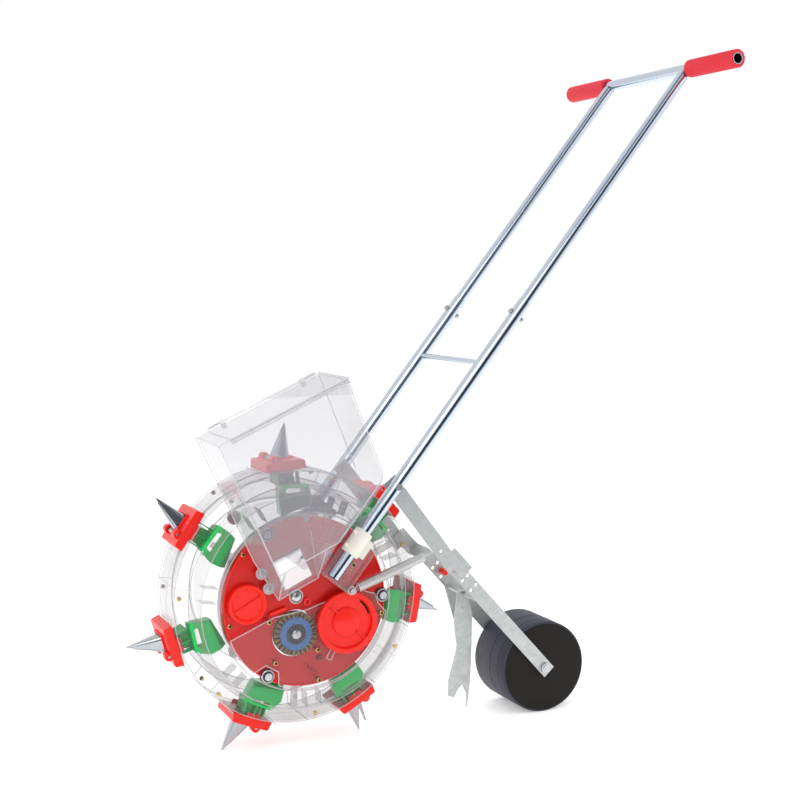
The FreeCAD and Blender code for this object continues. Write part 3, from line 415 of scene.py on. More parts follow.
def swept(path: np.ndarray, radius: float, sides: int = 12) -> Surface:
    """Carry a circle along a path.

    At each point the circle lies square to the path's tangent T: its points are
    P + r (U cos b + V sin b), where U is T crossed with one fixed direction and V is T cross U.

    Args:
        path: points in millimetres.
        radius: the circle's radius.
        sides: corners of the circle.

    Returns:
        The tube, with its ends closed to a point.
    """
    path = np.asarray(path, dtype=float)
    tangent = np.gradient(path, axis=0)
    tangent /= np.linalg.norm(tangent, axis=1)[:, None]
    fixed = np.array([0.0, 1.0, 0.0])
    if abs(tangent[:, 1]).max() > 0.95:
        fixed = np.array([1.0, 0.0, 0.3])
    side = np.cross(tangent, fixed)
    side /= np.linalg.norm(side, axis=1)[:, None]
    other = np.cross(tangent, side)
    angle = np.linspace(0.0, TURN, sides, endpoint=False)
    ring = (side[:, None] * np.cos(angle)[None, :, None]
            + other[:, None] * np.sin(angle)[None, :, None]) * radius
    tube = path[:, None] + ring
    tube = np.concatenate([np.repeat(path[:1, None], sides, axis=1), tube,
                           np.repeat(path[-1:, None], sides, axis=1)])
    return grid(tube, False, True)


def bar(start: tuple, end: tuple, radius: float, sides: int = 10) -> Surface:
    """A round bar between two points.

    Args:
        start: one end (a, y, c).
        end: the other end.
        radius: the bar's radius.
        sides: corners of its section.

    Returns:
        The closed bar.
    """
    steps = np.linspace(0.0, 1.0, 4)[:, None]
    return swept(np.array(start, float) * (1 - steps) + np.array(end, float) * steps,
                 radius, sides)


@dataclass(frozen=True)
class Spot:
    """A local frame: its origin on the XZ plane, and its a axis at an angle up from +X.

    A local point (a, y, c) lands at x = x0 + a cos t - c sin t, z = z0 + a sin t + c cos t.
    """

    x: float
    z: float
    degrees: float = 0.0

    def put(self, surface: Surface) -> Surface:
        """Move a surface to the row frame.

        Args:
            surface: a surface in this local frame, in millimetres.

        Returns:
            The surface in the row frame, in metres.
        """
        turn = math.radians(self.degrees)
        a, y, c = surface.points.T
        points = np.stack([self.x + (a * math.cos(turn) - c * math.sin(turn)) * MM, y * MM,
                           self.z + (a * math.sin(turn) + c * math.cos(turn)) * MM], axis=-1)
        return Surface(points, surface.faces)


def rotated(surface: Surface, degrees: float, about: tuple[float, float] = (0.0, 0.0)) -> Surface:
    """Turn a surface in its own frame about an axis along Y, still in millimetres.

    Args:
        surface: the surface.
        degrees: the turn, from the a axis towards the c axis.
        about: where the axis is, as (a, c).

    Returns:
        The turned surface.
    """
    turn = math.radians(degrees)
    a, y, c = surface.points.T
    a, c = a - about[0], c - about[1]
    points = np.stack([about[0] + a * math.cos(turn) - c * math.sin(turn), y,
                       about[1] + a * math.sin(turn) + c * math.cos(turn)], axis=-1)
    return Surface(points, surface.faces)


def shifted(surface: Surface, a: float, c: float) -> Surface:
    """Move a surface in its own frame.

    Args:
        surface: the surface.
        a: how far along the local a axis.
        c: how far along the local c axis.

    Returns:
        The moved surface.
    """
    return Surface(surface.points + np.array([a, 0.0, c]), surface.faces)


def tidy_mesh(mesh: bpy.types.Mesh) -> None:
    """Merge doubled points and turn every closed shell outwards.

    Args:
        mesh: the mesh, changed in place.
    """
    work = bmesh.new()
    work.from_mesh(mesh)
    bmesh.ops.remove_doubles(work, verts=work.verts, dist=3e-6)
    bmesh.ops.dissolve_degenerate(work, edges=work.edges, dist=1e-6)
    bmesh.ops.recalc_face_normals(work, faces=work.faces)
    work.to_mesh(mesh)
    work.free()


def piece(name: str, surface: Surface, look: Look, body: str, bevel_mm: float = 0.0,
          wall_mm: float = 0.0, replaces: tuple = ()) -> bpy.types.Object:
    """Make a finished piece from a surface in the row frame.

    Args:
        name: the piece's name.
        surface: its points and faces.
        look: its finish.
        body: the CAD body that it moves with.
        bevel_mm: rounding of its edges, none if zero.
        wall_mm: thickness given to an open sheet, none if zero.
        replaces: CAD nodes that it stands for.

    Returns:
        The object.
    """
    mesh = bpy.data.meshes.new(name)
    mesh.from_pydata(surface.points.tolist(), [], surface.faces)
    mesh.update()
    item = bpy.data.objects.new(name, mesh)
    bpy.context.scene.collection.objects.link(item)
    tidy_mesh(mesh)
    if wall_mm:
        thick = item.modifiers.new("wall", "SOLIDIFY")
        thick.thickness = wall_mm * MM
        thick.offset = 0.0
    if bevel_mm:
        bevel = item.modifiers.new("edges", "BEVEL")
        bevel.width = bevel_mm * MM
        bevel.segments = 2
        bevel.limit_method = "ANGLE"
        bevel.angle_limit = math.radians(40)
    mesh.shade_smooth()
    mesh.set_sharp_from_angle(angle=math.radians(38))
    mesh.materials.append(finish(look))
    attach(item, body)
    if replaces:
        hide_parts(*replaces)
    LOG.info("made %s on %s", name, body)
    return item


# ---- small hardware ---------------------------------------------------------------------------
def screw_head(a: float, c: float, face: float, radius: float, side: int = -1,
               height: float = 2.0) -> Surface:
    """A pan head with a cross recess, standing on a plane of constant Y.

    Args:
        a: centre along the local a axis.
        c: centre along the local c axis.
        face: Y of the plane that it stands on.
        radius: the head's radius.
        side: -1 if it faces -Y, 1 if it faces +Y.
        height: how far it stands out.

    Returns:
        The head and its cross.
    """
    top = face + side * height
    rim = face + side * height * 0.45
    dish = [(0, face), (radius, face), (radius, rim), (radius * 0.86, top - side * 0.25 * height),
            (radius * 0.55, top), (radius * 0.5, top - side * 0.5), (0, top - side * 0.7)]
    head = turned(dish, (a, c), 28)
    arm, thin = radius * 0.46, radius * 0.12
    floor, low = sorted((top - side * 0.1, top - side * 0.8))
    cross = [block((a - arm, floor, c - thin), (a + arm, low, c + thin)),
             block((a - thin, floor, c - arm), (a + thin, low, c + arm))]
    return join([head] + cross)


def recess(a: float, c: float, face: float, radius: float, side: int = -1) -> Surface:
    """Painted shade for the socket in a screw's head: a thin disc just proud of its crown.

    Args:
        a: centre along the local a axis.
        c: centre along the local c axis.
        face: Y of the head's crown.
        radius: the socket's radius.
        side: -1 if it faces -Y, 1 if it faces +Y.

    Returns:
        The disc.
    """
    low, high = sorted((face - side * 0.6, face + side * 0.15))
    return turned([(0, low), (radius, low), (radius, high), (0, high)], (a, c), 16)


# ---- the drum -----------------------------------------------------------------------------------
@dataclass
class Drum:
    """Clear shells, red beak holders, steel beaks and green scoops, all turning together."""

    layout: "Layout"
    tread: float = 210.0
    step: float = 186.0
    tread_half: float = 50.0
    cheek_half: float = 89.0
    lip: float = 144.8
    holder_angles: list = field(default_factory=lambda: [93.5 + 360 / 7 * n for n in range(7)])

    def build(self) -> None:
        """Make every piece of the drum."""
        self.build_holders()
        self.build_beaks()
        self.build_scoops()
        self.build_trims()
        self.build_screws()

    def around(self, make: Callable[[], Surface]) -> Surface:
        """A shape repeated at every beak.

        Args:
            make: builds it once, in a frame whose a axis runs out along the beak.

        Returns:
            All of them as one surface in the row frame.
        """
        return join([self.layout.spin(angle).put(make()) for angle in self.holder_angles])

    def build_holders(self) -> None:
        """Moulded holders: block, tab towards the drum, hinge bosses and beak collar."""
        piece("holders", self.around(self.holder), Look.RED_ABS, "drum", 0.9,
              replaces=("beak_holders",))
        # painted shade: dark blocks standing in for the shade in the holders' pockets
        piece("holder_slot_shade", self.around(self.holder_slot_shade), Look.PAINTED_SHADE, "drum")
        piece("hinge_pins", self.around(self.hinge_pins), Look.ZINC, "drum", 0.3)

    @staticmethod
    def holder() -> Surface:
        """One holder, seen along its beak's own radius."""
        body = prism([(210.2, -35), (224, -33), (225.5, -30), (226, 0), (225.5, 30), (224, 33),
                      (210.2, 35)], -42, 42)
        tab_outline = [(203.5, -11), (212, -13), (212, 13), (203.5, 11)]
        tabs = [prism(tab_outline, low, low + 4.5) for low in (-43, 38.5)]
        bosses = [turned([(2.6, low), (6.6, low), (7.4, low + 0.8), (7.4, high - 0.8),
                          (6.6, high), (2.6, high)], HINGE, 32)
                  for low, high in ((-34, -18.4), (18.4, 34))]
        collar = [block((224, -19, -21), (229, 19, -18.6)),
                  block((224, -19, -19), (229, -16.8, 12)), block((224, 16.8, -19), (229, 19, 12))]
        return join([body] + tabs + bosses + collar)

    @staticmethod
    def holder_slot_shade() -> Surface:
        """Painted shade: thin dark blocks standing in for the shade in the pockets beside the bosses
        and where the beak goes in.
        """
        return join([block((225.4, -16, -16.5), (226.4, 16, 9)),
                     block((225.2, 22, -4), (226.2, 30, 5))])

    @staticmethod
    def hinge_pins() -> Surface:
        """The pin through both bosses."""
        return bar((HINGE[0], -34.4, HINGE[1]), (HINGE[0], 34.4, HINGE[1]), 2.2, 16)

    def build_beaks(self) -> None:
        """Folded fixed jaws on the drum and a hinged jaw on each flap's own body."""
        piece("beak_troughs", self.around(self.trough), Look.BEAK_STEEL, "drum", 0.0, 1.3,
              replaces=("fixed_jaws",))
        for number, angle in enumerate(self.holder_angles, start=1):
            opened = OPEN_DEGREES if number == OPEN_BEAK else 0.0
            jaw = self.layout.spin(angle).put(rotated(self.jaw(), opened, HINGE))
            piece(f"jaw_{number}", jaw, Look.BEAK_STEEL, f"flap_{number}", 0.0, 1.2,
                  replaces=(f"beak_flap_{number}",))

    @staticmethod
    def trough(stations: int = 14) -> Surface:
        """One folded fixed jaw, as an open sheet.

        At distance s from base to tip (0 to 1) the section has half width w = 15.4 (1 - s) + 1.6 s.
        Its back lies at c = -17, its two cheeks reach the line from the hinge to the tip, and
        the folds between them have radius 0.55 w.
        """
        s = np.linspace(0.0, 1.0, stations)[:, None]
        out = 223 + (282.6 - 223) * s
        half = 15.4 * (1 - s) + 1.6 * s
        edge = 11.0 * (1 - s) - 16.2 * s
        fold = 0.55 * half
        back = np.full_like(s, -16.8)
        bend = np.linspace(0.0, math.pi / 2, 7)[None, :]
        cheek = np.linspace(1.0, 0.0, 5)[None, :-1]
        fold_side = np.minimum(back + fold, edge + 0.05)
        cheek_c = fold_side + (edge - fold_side) * cheek
        near_c = np.hstack([cheek_c, back + (fold_side - back) * (1 - np.sin(bend))])
        near_y = np.hstack([-half + 0 * cheek_c, -half + fold * (1 - np.cos(bend))])
        c = np.hstack([near_c, near_c[:, ::-1]])
        y = np.hstack([near_y, -near_y[:, ::-1]])
        a = np.broadcast_to(out, c.shape)
        return grid(np.stack([a, y, c], axis=-1))

    @staticmethod
    def jaw(stations: int = 10) -> Surface:
        """The hinged jaw: a shallow folded plate closing the trough's open side."""
        s = np.linspace(0.0, 0.82, stations)[:, None]
        out = 226.5 + (282.6 - 226.5) * s
        half = 14.2 * (1 - s) + 1.2 * s
        edge = 12.0 * (1 - s) - 16.0 * s
        wing = np.linspace(-1.0, 1.0, 13)[None, :]
        y = half * wing
        depth = np.abs(wing) ** 6 * 3.5 * (1 - s)
        c = edge - depth + 0.6
        surface = grid(np.stack([np.broadcast_to(out, c.shape), y, c], axis=-1))
        return surface + turned([(2.3, -14), (3.1, -14), (3.1, 14), (2.3, 14)], HINGE, 24)

    def build_scoops(self) -> None:
        """Green seed cups inside the rim, each with its chute and pivot screw."""
        piece("scoops", self.around(self.scoop), Look.GREEN_ABS, "drum", 0.7, 1.8,
              replaces=("seed_scoops",))
        piece("chutes", self.around(self.chute), Look.GREEN_ABS, "drum", 0.5)
        pivots = join([self.layout.spin(angle).put(screw_head(183, 19, -57, 4.0))
                       for angle in self.holder_angles])
        piece("scoop_pivots", pivots, Look.ZINC, "drum")

    @staticmethod
    def scoop() -> Surface:
        """One cup: a slanted outer facet with a window, a flat face, an inner facet and sides."""
        outer_1, outer_2 = (189, -55, 18), (185, -55, -31)
        upper_1, upper_2 = (169, -68, 26), (167, -68, -30)
        lower_1, lower_2 = (151, -68, 24), (156, -68, -25)
        inner_1, inner_2 = (141, -60, 21), (152, -60, -27)
        back = 30.0
        rear = [(p[0], p[1] + back, p[2] * 0.86) for p in (outer_1, outer_2, inner_2, inner_1)]
        window = [(p[0], p[1], p[2]) for p in
                  ((184, -58.2, 9), (182, -59.5, -20), (176, -63.4, -22), (177, -62.8, 12))]
        points = [outer_1, outer_2, upper_2, upper_1, lower_2, lower_1, inner_2, inner_1]
        points += rear + window
        o1, o2, u2, u1, l2, l1, i2, i1, r1, r2, r3, r4, w1, w2, w3, w4 = range(16)
        faces = [[o1, o2, w2, w1], [o2, u2, w3, w2], [u2, u1, w4, w3], [u1, o1, w1, w4],
                 [u2, l2, l1, u1], [l2, i2, i1, l1], [o1, r1, r2, o2], [i2, r3, r4, i1],
                 [o2, r2, r3, i2, l2, u2], [i1, r4, r1, o1, u1, l1]]
        return Surface(np.array(points, float), faces)

    @staticmethod
    def chute() -> Surface:
        """The short spout that leads from the cup out to the holder."""
        spout = prism([(186, -16), (208, -12), (208, 10), (186, 14)], -34, 12)
        fins = [block((184, -44, c), (207, -30, c + 2)) for c in (-20, -2, 14)]
        return join([spout] + fins)

    def build_trims(self) -> None:
        """Whitish beads of painted highlight on the rim's moulded corners, seams between the rim's
        seven parts and small raised rings.
        """
        rings = []
        for side in (-1, 1):
            for radius, level, thick in ((self.step, self.tread_half, 0.9),
                                         (self.tread - 0.6, self.tread_half, 0.7),
                                         (self.lip + 1.2, self.cheek_half, 0.9),
                                         (176.0, self.cheek_half, 0.6)):
                angle = np.linspace(0, TURN, 12, endpoint=False)
                loop = [(radius + thick * math.cos(b), side * level + thick * math.sin(b))
                        for b in angle]
                rings.append(self.layout.spin(0).put(turned(loop, (0, 0), 160)))
        # painted highlight: whitish beads standing in for the light caught on the rim's corners
        piece("rim_highlight_rings", join(rings), Look.CLEAR_EDGE_HIGHLIGHT, "drum")
        seams = []
        for angle in self.holder_angles:
            spot = self.layout.spin(angle + 360 / 14)
            seams.append(spot.put(join(
                [block((209.3, -50, -0.5), (210.6, 50, 0.5))]
                + [block((186, side * 50.2 - 0.4, -0.5), (209.5, side * 50.2 + 0.4, 0.5))
                   for side in (-1, 1)]
                + [turned([(2.6, -51), (3.4, -51), (3.4, -50.2), (2.6, -50.2)], (206, 9), 20)])))
            spot = self.layout.spin(angle)
            seams.append(spot.put(join([block((209.3, -50, c - 0.4), (210.5, 50, c + 0.4))
                                        for c in (-40, 40)])))
        piece("rim_seams", join(seams), Look.CLEAR_EDGE_HIGHLIGHT, "drum")
        ribs = []
        for angle in self.holder_angles:
            spot = self.layout.spin(angle + 360 / 14)
            ribs.append(spot.put(join([block((150, -88, c), (174, -60, c + 1.2))
                                       for c in (-12, 12)])))
        piece("cheek_ribs", join(ribs), Look.CLEAR_SHELL, "drum")

    def build_screws(self) -> None:
        """Brass-coloured screws round both faces of the rim."""
        heads, shade_discs = [], []
        for angle in self.holder_angles:
            spot = self.layout.spin(angle - 3.5 - 18.1)
            heads += [spot.put(screw_head(201, 0, side * 50, 3.6, side)) for side in (-1, 1)]
            shade_discs += [spot.put(recess(201, 0, side * 52, 1.7, side)) for side in (-1, 1)]
        piece("rim_screw_heads", join(heads), Look.YELLOW_ZINC, "drum")
        # painted shade: dark discs standing in for the shade in the screws' cross recesses
        piece("rim_screw_recess_shade", join(shade_discs), Look.PAINTED_SHADE, "drum")


# ---- caps, brush and cover -----------------------------------------------------------------------
@dataclass
class Drive:
    """What stands on the red disc: caps, brush, cover details and guide bearings."""

    layout: "Layout"
    disc: float = -84.0
    cover: float = -95.0

    def build(self) -> None:
        """Make every piece on the disc."""
        self.build_big_cap()
        self.build_small_cap()
        self.build_brush()
        self.build_cover()
        self.build_bearings()

    def build_big_cap(self) -> None:
        """A dished cap with a raised rim, bayonet notches, a centre disc and two ribs."""
        x, z = self.layout.millimetres("big_cap")
        face = -105.0
        dish = turned([(0, face + 6), (23, face + 6), (24, face + 6.6), (24, face + 8.5),
                       (42, face + 7.5), (43.5, face + 0.8), (44.5, face), (50.6, face),
                       (51.5, face + 0.9), (51.5, -95.6), (20, -95.6), (0, -95.6)], (0, 0), 96)
        hub = turned([(0, face + 4.6), (22.6, face + 4.6), (24, face + 5.6), (24, face + 9),
                      (0, face + 9)], (0, 0), 64)
        dot = turned([(0, face + 4), (1.6, face + 4), (1.6, face + 5), (0, face + 5)])
        ribs = [rotated(block((23, face + 1.5, -1.2), (44, face + 9, 1.2)), angle)
                for angle in (135, 315)]
        tooth = block((50.5, face + 1.5, -3.2), (53.2, -97, 3.2))
        notches = [rotated(tooth, angle) for angle in (-62, -49, -36, -12, 10)]
        spot = self.layout.offset(x, z)
        piece("big_cap_body", spot.put(join([dish, hub, dot] + ribs + notches)), Look.RED_ABS,
              "big_cap", 0.5, replaces=("big_cap",))
        angles = np.radians(np.linspace(14, 52, 12))
        slot_shade_outline = [(42.4 * math.cos(b), 42.4 * math.sin(b)) for b in angles]
        slot_shade_outline += [(39 * math.cos(b), 39 * math.sin(b)) for b in angles[::-1]]
        # painted shade: a dark arc on the cap standing in for the shade in its slot
        piece("big_cap_slot_shade", spot.put(prism(slot_shade_outline, face + 7.0, face + 8.6)),
              Look.PAINTED_SHADE, "big_cap")

    def build_small_cap(self) -> None:
        """A flat cap with a raised rim and one rib across it."""
        x, z = self.layout.millimetres("small_cap")
        face = -98.0
        plate = turned([(0, face + 4.5), (24.5, face + 4), (26, face + 0.6), (27, face),
                        (31, face + 0.4), (32, face + 1.4), (32, -84.4), (0, -84.4)], (0, 0), 80)
        rib = block((-25.5, face + 1.4, -1.3), (25.5, face + 6, 1.3))
        spot = self.layout.offset(x, z)
        piece("small_cap_body", spot.put(plate + rotated(rib, 28)), Look.RED_ABS, "small_cap", 0.4,
              replaces=("small_cap",))

    def build_brush(self) -> None:
        """Bristle tufts round a blue hub, a dark disc and a cross screw."""
        x, z = self.layout.millimetres("brush_wheel")
        spot = self.layout.offset(x, z)
        piece("bristles", spot.put(self.tufts()), Look.BRISTLE, "brush",
              replaces=("brush_wheel",))
        bed = turned([(20, -86.6), (35.6, -86.2), (36.4, -85.4), (36.4, -78), (20, -78)],
                     (0, 0), 64)
        piece("bristle_bed", spot.put(bed), Look.BRISTLE_BED, "brush")
        ring = turned([(16, -92.4), (26.5, -92.4), (27.5, -91.6), (27.5, -62), (16, -62)],
                      (0, 0), 64)
        petal = block((20, -93.4, -1.2), (26.6, -92, 1.2))
        petals = [rotated(petal, 360 / 13 * n) for n in range(13)]
        piece("blue_hub", spot.put(join([ring] + petals)), Look.BLUE_PP, "brush", 0.4,
              replaces=("brush_hub",))
        disc = turned([(0, -93.2), (15.6, -93.2), (17, -92.4), (17, -88), (0, -88)], (0, 0), 48)
        piece("hub_disc", spot.put(disc), Look.DARK_NYLON_AND_SHADE, "brush")
        piece("hub_screw", spot.put(screw_head(0, 0, -93.2, 7.5, -1, 3.0)), Look.ZINC, "brush")

    @staticmethod
    def tufts(count: int = 26, hairs: int = 9) -> Surface:
        """Tufts of straight hairs, each hair fanned a little about its tuft's angle."""
        rng = np.random.default_rng(7)
        parts = []
        for tuft in range(count):
            base = tuft * TURN / count
            for _ in range(hairs):
                root = base + rng.uniform(-0.035, 0.035)
                tip = base + rng.uniform(-0.085, 0.085)
                level = rng.uniform(-91.4, -87.0)
                reach = rng.uniform(35.2, 37.2)
                start = (26 * math.cos(root), level, 26 * math.sin(root))
                end = (reach * math.cos(tip), level + rng.uniform(-0.8, 0.8),
                       reach * math.sin(tip))
                parts.append(bar(start, end, 0.62, 5))
        return join(parts)

    def build_cover(self) -> None:
        """Screws on the cover, the red boss and comb behind it and the seed window's frame."""
        spot = self.layout.offset(0, 0)
        cover_screws = ((-57, -93), (16, -79.5), (17, -130), (129, -31), (-66, -25))
        disc_screws = ((-103.9, 86.8), (-128.5, -27))
        tray_screw = (76.2, 56.4)
        placed = ([(a, c, self.cover) for a, c in cover_screws]
                  + [(a, c, self.disc) for a, c in disc_screws] + [(*tray_screw, -105.5)])
        heads = join([screw_head(a, c, face, 4.2, -1, 2.4) for a, c, face in placed])
        piece("cover_screw_heads", spot.put(heads), Look.YELLOW_ZINC, "frame",
              replaces=("housing_screws",))
        sockets = join([recess(a, c, face - 2.4, 2.0) for a, c, face in placed])
        # painted shade: dark discs standing in for the shade in the cover screws' sockets
        piece("cover_screw_socket_shade", spot.put(sockets), Look.PAINTED_SHADE, "frame")
        dome = turned([(0, -92.4), (5, -92.0), (9, -89.6), (10, -87.2), (10, -84), (0, -84)],
                      (-16, 10), 40)
        washer = turned([(0, -85), (12, -85), (12, -84), (0, -84)], (-16, 10), 40)
        small = turned([(0, -88.5), (3.4, -88), (5, -86.4), (5, -84), (0, -84)], (3, 136.4), 24)
        piece("dome_bolt", spot.put(join([dome, washer, small])), Look.ZINC, "frame", 0.0)
        boss = turned([(3, -88), (6.5, -88), (6.5, -84), (3, -84)], (2, 0), 32)
        rim = turned([(136.3, -84), (136.9, -86), (138.9, -86), (139.3, -84)], (0, 0), 128)
        fin = shifted(rotated(block((-14, -91, -2.6), (16, -84, 2.6)), 16), -50.0, -10.8)
        strip = shifted(rotated(block((-14, -89, -3.6), (16, -84, 3.6)), -40), 8.0, -113.0)
        piece("disc_details", spot.put(join([boss, rim, fin, strip])), Look.RED_ABS, "frame", 0.4)
        teeth = [rotated(block((-12 + 4.6 * n, -90.4, -2.6), (-9.4 + 4.6 * n, -88.8, 2.6)), -40)
                 for n in range(5)]
        comb = shifted(join(teeth), 8.0, -113.0)
        pad = turned([(0, -88), (4.6, -88), (5.2, -87), (5.2, -84), (0, -84)], (22, -95.7), 24)
        piece("comb_teeth", spot.put(comb + pad), Look.DARK_RED, "frame")
        window = [block((-9, -96.6, low), (9, -95, low + 1.4)) for low in (-5, 3.6)]
        window += [block((side, -96.6, -5), (side + 1.4, -95, 5)) for side in (-9, 7.6)]
        frame_of_window = shifted(rotated(join(window), 62), 38.0, -90.0)
        rails = [bar((p[0], -96, p[1]), (q[0], -96, q[1]), 0.8, 8)
                 for p, q in zip(self.cover_outline(), self.cover_outline()[1:])]
        piece("cover_edges", spot.put(join([frame_of_window] + rails)), Look.CLEAR_EDGE_HIGHLIGHT, "frame",
              0.2)

    @staticmethod
    def cover_outline(edge: float = 140.0, notch: float = 119.3) -> list:
        """The cover's edge: an arc with a notch round the lower bearing, then its upper side.

        Args:
            edge: radius of the arc.
            notch: radius that it steps in to beside the bearing.

        Returns:
            A closed loop of (a, c).
        """
        points = []
        for degrees in range(200, 349, 4):
            reach = notch if abs(degrees - 239) < 8 else edge
            points.append((reach * math.cos(math.radians(degrees)),
                           reach * math.sin(math.radians(degrees))))
        upper = [(123.2, -14), (117.2, 3.2), (88, 13), (18, -4.8), (0, -10.8), (-57.8, -17.8)]
        return points + upper + points[:1]

    def build_bearings(self) -> None:
        """Ball bearings: outer race, shield, inner race, with a screw through each, and a dark ring
        of painted shade round each on the frame.
        """
        heads, shade_discs = [], []
        centre = (BEARING_CIRCLE, 0.0)
        for number, angle in enumerate((-1, 119, 239), start=1):
            spot = self.layout.spin(angle)
            races, shields = [], []
            for side in (-1, 1):
                low, high, lip = side * 84.5, side * 91.5, side * 90.6
                races.append(turned([(4.05, low), (10.9, low), (10.9, high - side * 0.4),
                                     (10.4, high), (9.3, high), (9.1, lip), (6.4, lip),
                                     (6.2, high), (4.05, high)], centre, 40))
                heads.append(spot.put(screw_head(*centre, side * 91.7, 5.2, side, 2.6)))
                shields.append(self.washer(6.5, 9.0, side * 90.7, side * 91.1))
                shade_discs.append(spot.put(self.washer(11.1, 12.1, side * 84.2, side * 84.9)))
            piece(f"bearing_{number}", spot.put(join(races)), Look.ZINC, f"guide_{number}",
                  replaces=(f"guide_bearing_{number}",))
            piece(f"bearing_shield_{number}", spot.put(join(shields)), Look.DARK_NYLON_AND_SHADE,
                  f"guide_{number}")
        piece("bearing_screw_heads", join(heads), Look.ZINC, "frame")
        # painted shade: a dark ring round each bearing standing in for the shade of its recess in
        # the frame
        piece("bearing_recess_shade", join(shade_discs), Look.DARK_NYLON_AND_SHADE, "frame")

    @staticmethod
    def washer(inner: float, outer: float, low: float, high: float) -> Surface:
        """A flat ring on the bearings' circle.

        Args:
            inner: its inner radius.
            outer: its outer radius.
            low: Y of one face.
            high: Y of the other face.

        Returns:
            The closed ring.
        """
        return turned([(inner, low), (outer, low), (outer, high), (inner, high)],
                      (BEARING_CIRCLE, 0.0), 40)


# ---- hopper --------------------------------------------------------------------------------------
@dataclass
class Hopper:
    """Moulded edges, lugs and gate frame of the clear hopper and its lid."""

    layout: "Layout"
    near: float = -220.0
    far: float = -95.5

    def build(self) -> None:
        """Make the pieces that follow the hopper's tilt."""
        spot = self.layout.offset(-179, 279.2, 23.8)
        self.build_edges(spot)
        self.build_lugs(spot)

    def build_edges(self, spot: Spot) -> None:
        """Thick bright edges where the walls meet.

        Args:
            spot: the hopper's tilted frame.
        """
        corner = [(193 + 24 * math.sin(b), -149 - 24 * math.cos(b))
                  for b in np.linspace(math.pi / 2, 0.35, 6)]
        near_loop = [(0, 0), (224, 0)] + corner + [(105, -221), (10, -221), (0, -221), (0, 0)]
        near_path = [(a, self.near + 0.8, c) for a, c in near_loop]
        far_path = [(224, self.far, 0), (217, self.far, -165)]
        rails = [bar(p, q, 1.1, 8) for p, q in zip(near_path[:-1], near_path[1:])]
        rails += [bar((0, self.far, 0), (0, self.far, -221), 1.1, 8),
                  bar((0, self.far, -221), (10, self.far, -299), 1.1, 8),
                  bar((10, self.far, -299), (84, self.far, -299), 1.1, 8),
                  bar((84, self.far, -299), (105, self.far, -224), 1.1, 8),
                  bar((10, self.near, -221), (10, self.far, -299), 1.2, 8),
                  bar((84, self.near, -221), (84, self.far, -299), 1.2, 8),
                  bar(*far_path, 1.0, 8)]
        rails += [bar((a, self.near, 0.5), (a, self.far, 0.5), 1.1, 8) for a in (0, 224)]
        piece("hopper_edges", spot.put(join(rails)), Look.CLEAR_EDGE_HIGHLIGHT, "frame")
        lid = [bar((20, self.near - 1.6, c), (226, self.near - 1.6, c), 0.9, 8)
               for c in (2.6, -4.8)]
        lid += [bar((a, self.near - 1.6, 2.6), (a, self.far, 2.6), 0.9, 8) for a in (20, 225.6)]
        piece("lid_edges", spot.put(join(lid)), Look.CLEAR_EDGE_HIGHLIGHT, "hopper_lid")

    def build_lugs(self, spot: Spot) -> None:
        """Two round screw lugs on the lower corner, with their screws.

        Args:
            spot: the hopper's tilted frame.
        """
        lugs = [turned([(4.2, self.far - 0.4), (9.5, self.far - 0.4), (9.5, self.far + 2.6),
                        (4.2, self.far + 2.6)], (3, c), 28) for c in (-246, -274)]
        piece("hopper_lugs", spot.put(join(lugs)), Look.CLEAR_EDGE_HIGHLIGHT, "frame", 0.4)
        heads = join([screw_head(3, c, self.far - 0.4, 4.4) for c in (-246, -274)])
        piece("lug_screw_heads", spot.put(heads), Look.ZINC, "frame")


# ---- handle ---------------------------------------------------------------------------------------
@dataclass
class Handle:
    """Foam grips, saddle clamps and the hardware along the tubes."""

    layout: "Layout"

    def build(self) -> None:
        """Make the handle's pieces."""
        self.build_grips()
        self.build_clamps()

    def build_grips(self) -> None:
        """Foam sleeves with softened ends, open round the bar's end."""
        low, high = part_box("handle_bar")
        centre = ((low[0] + high[0]) / 2, (low[2] + high[2]) / 2)
        for place, side in (("near", -1), ("far", 1)):
            inner, outer = side * 132.5, side * 264.2
            loop = [(9.9, inner), (14.3, inner), (15.4, inner + side * 1.4),
                    (15.4, outer - side * 1.4), (14.4, outer), (10.4, outer),
                    (9.9, outer - side * 0.6)]
            piece(f"foam_{place}", Spot(*centre).put(turned(loop, (0, 0), 56)), Look.RED_FOAM,
                  "frame", replaces=(f"grip_{place}",))

    def build_clamps(self) -> None:
        """Cream saddles over the tubes, with rounded shoulders and nubs on one edge."""
        spot = self.layout.offset(*TUBE_FOOT, TUBE_DEGREES)
        for place, side in (("near", -1), ("far", 1)):
            middle = side * 122.3
            angle = np.linspace(-0.12 * math.pi, 1.12 * math.pi, 22)
            stations = np.array([46.0, 47.2, 88.8, 90.0])
            grow = np.array([-0.9, 0.0, 0.0, -0.9])
            rows = []
            for station, extra in zip(stations, grow):
                out_y = middle + side * (15.6 + extra) * np.sin(angle)
                out_c = (15.6 + extra) * np.cos(angle)
                in_y = middle + side * 11.05 * np.sin(angle[::-1])
                in_c = 11.05 * np.cos(angle[::-1])
                y, c = np.concatenate([out_y, in_y]), np.concatenate([out_c, in_c])
                rows.append(np.stack([np.full_like(y, station), y, c], axis=-1))
            shell = grid(np.array(rows), False, True)
            count = len(rows[0])
            shell.faces.append(list(range(count))[::-1])
            shell.faces.append(list(range(count * 3, count * 4)))
            low, high = sorted((middle - side * 14, middle - side * 9.5))
            ear = block((52, low, -31), (84, high, -8))
            nubs = [turned([(0, middle + side * 2), (3.2, middle + side * 2),
                            (3.2, middle + side * 8), (0, middle + side * 8)],
                           (a, 15.5), 20) for a in (55, 80)]
            piece(f"saddle_{place}", spot.put(join([shell, ear] + nubs)), Look.CREAM_NYLON,
                  "frame", 0.5, replaces=(f"saddle_clamp_{place}",))


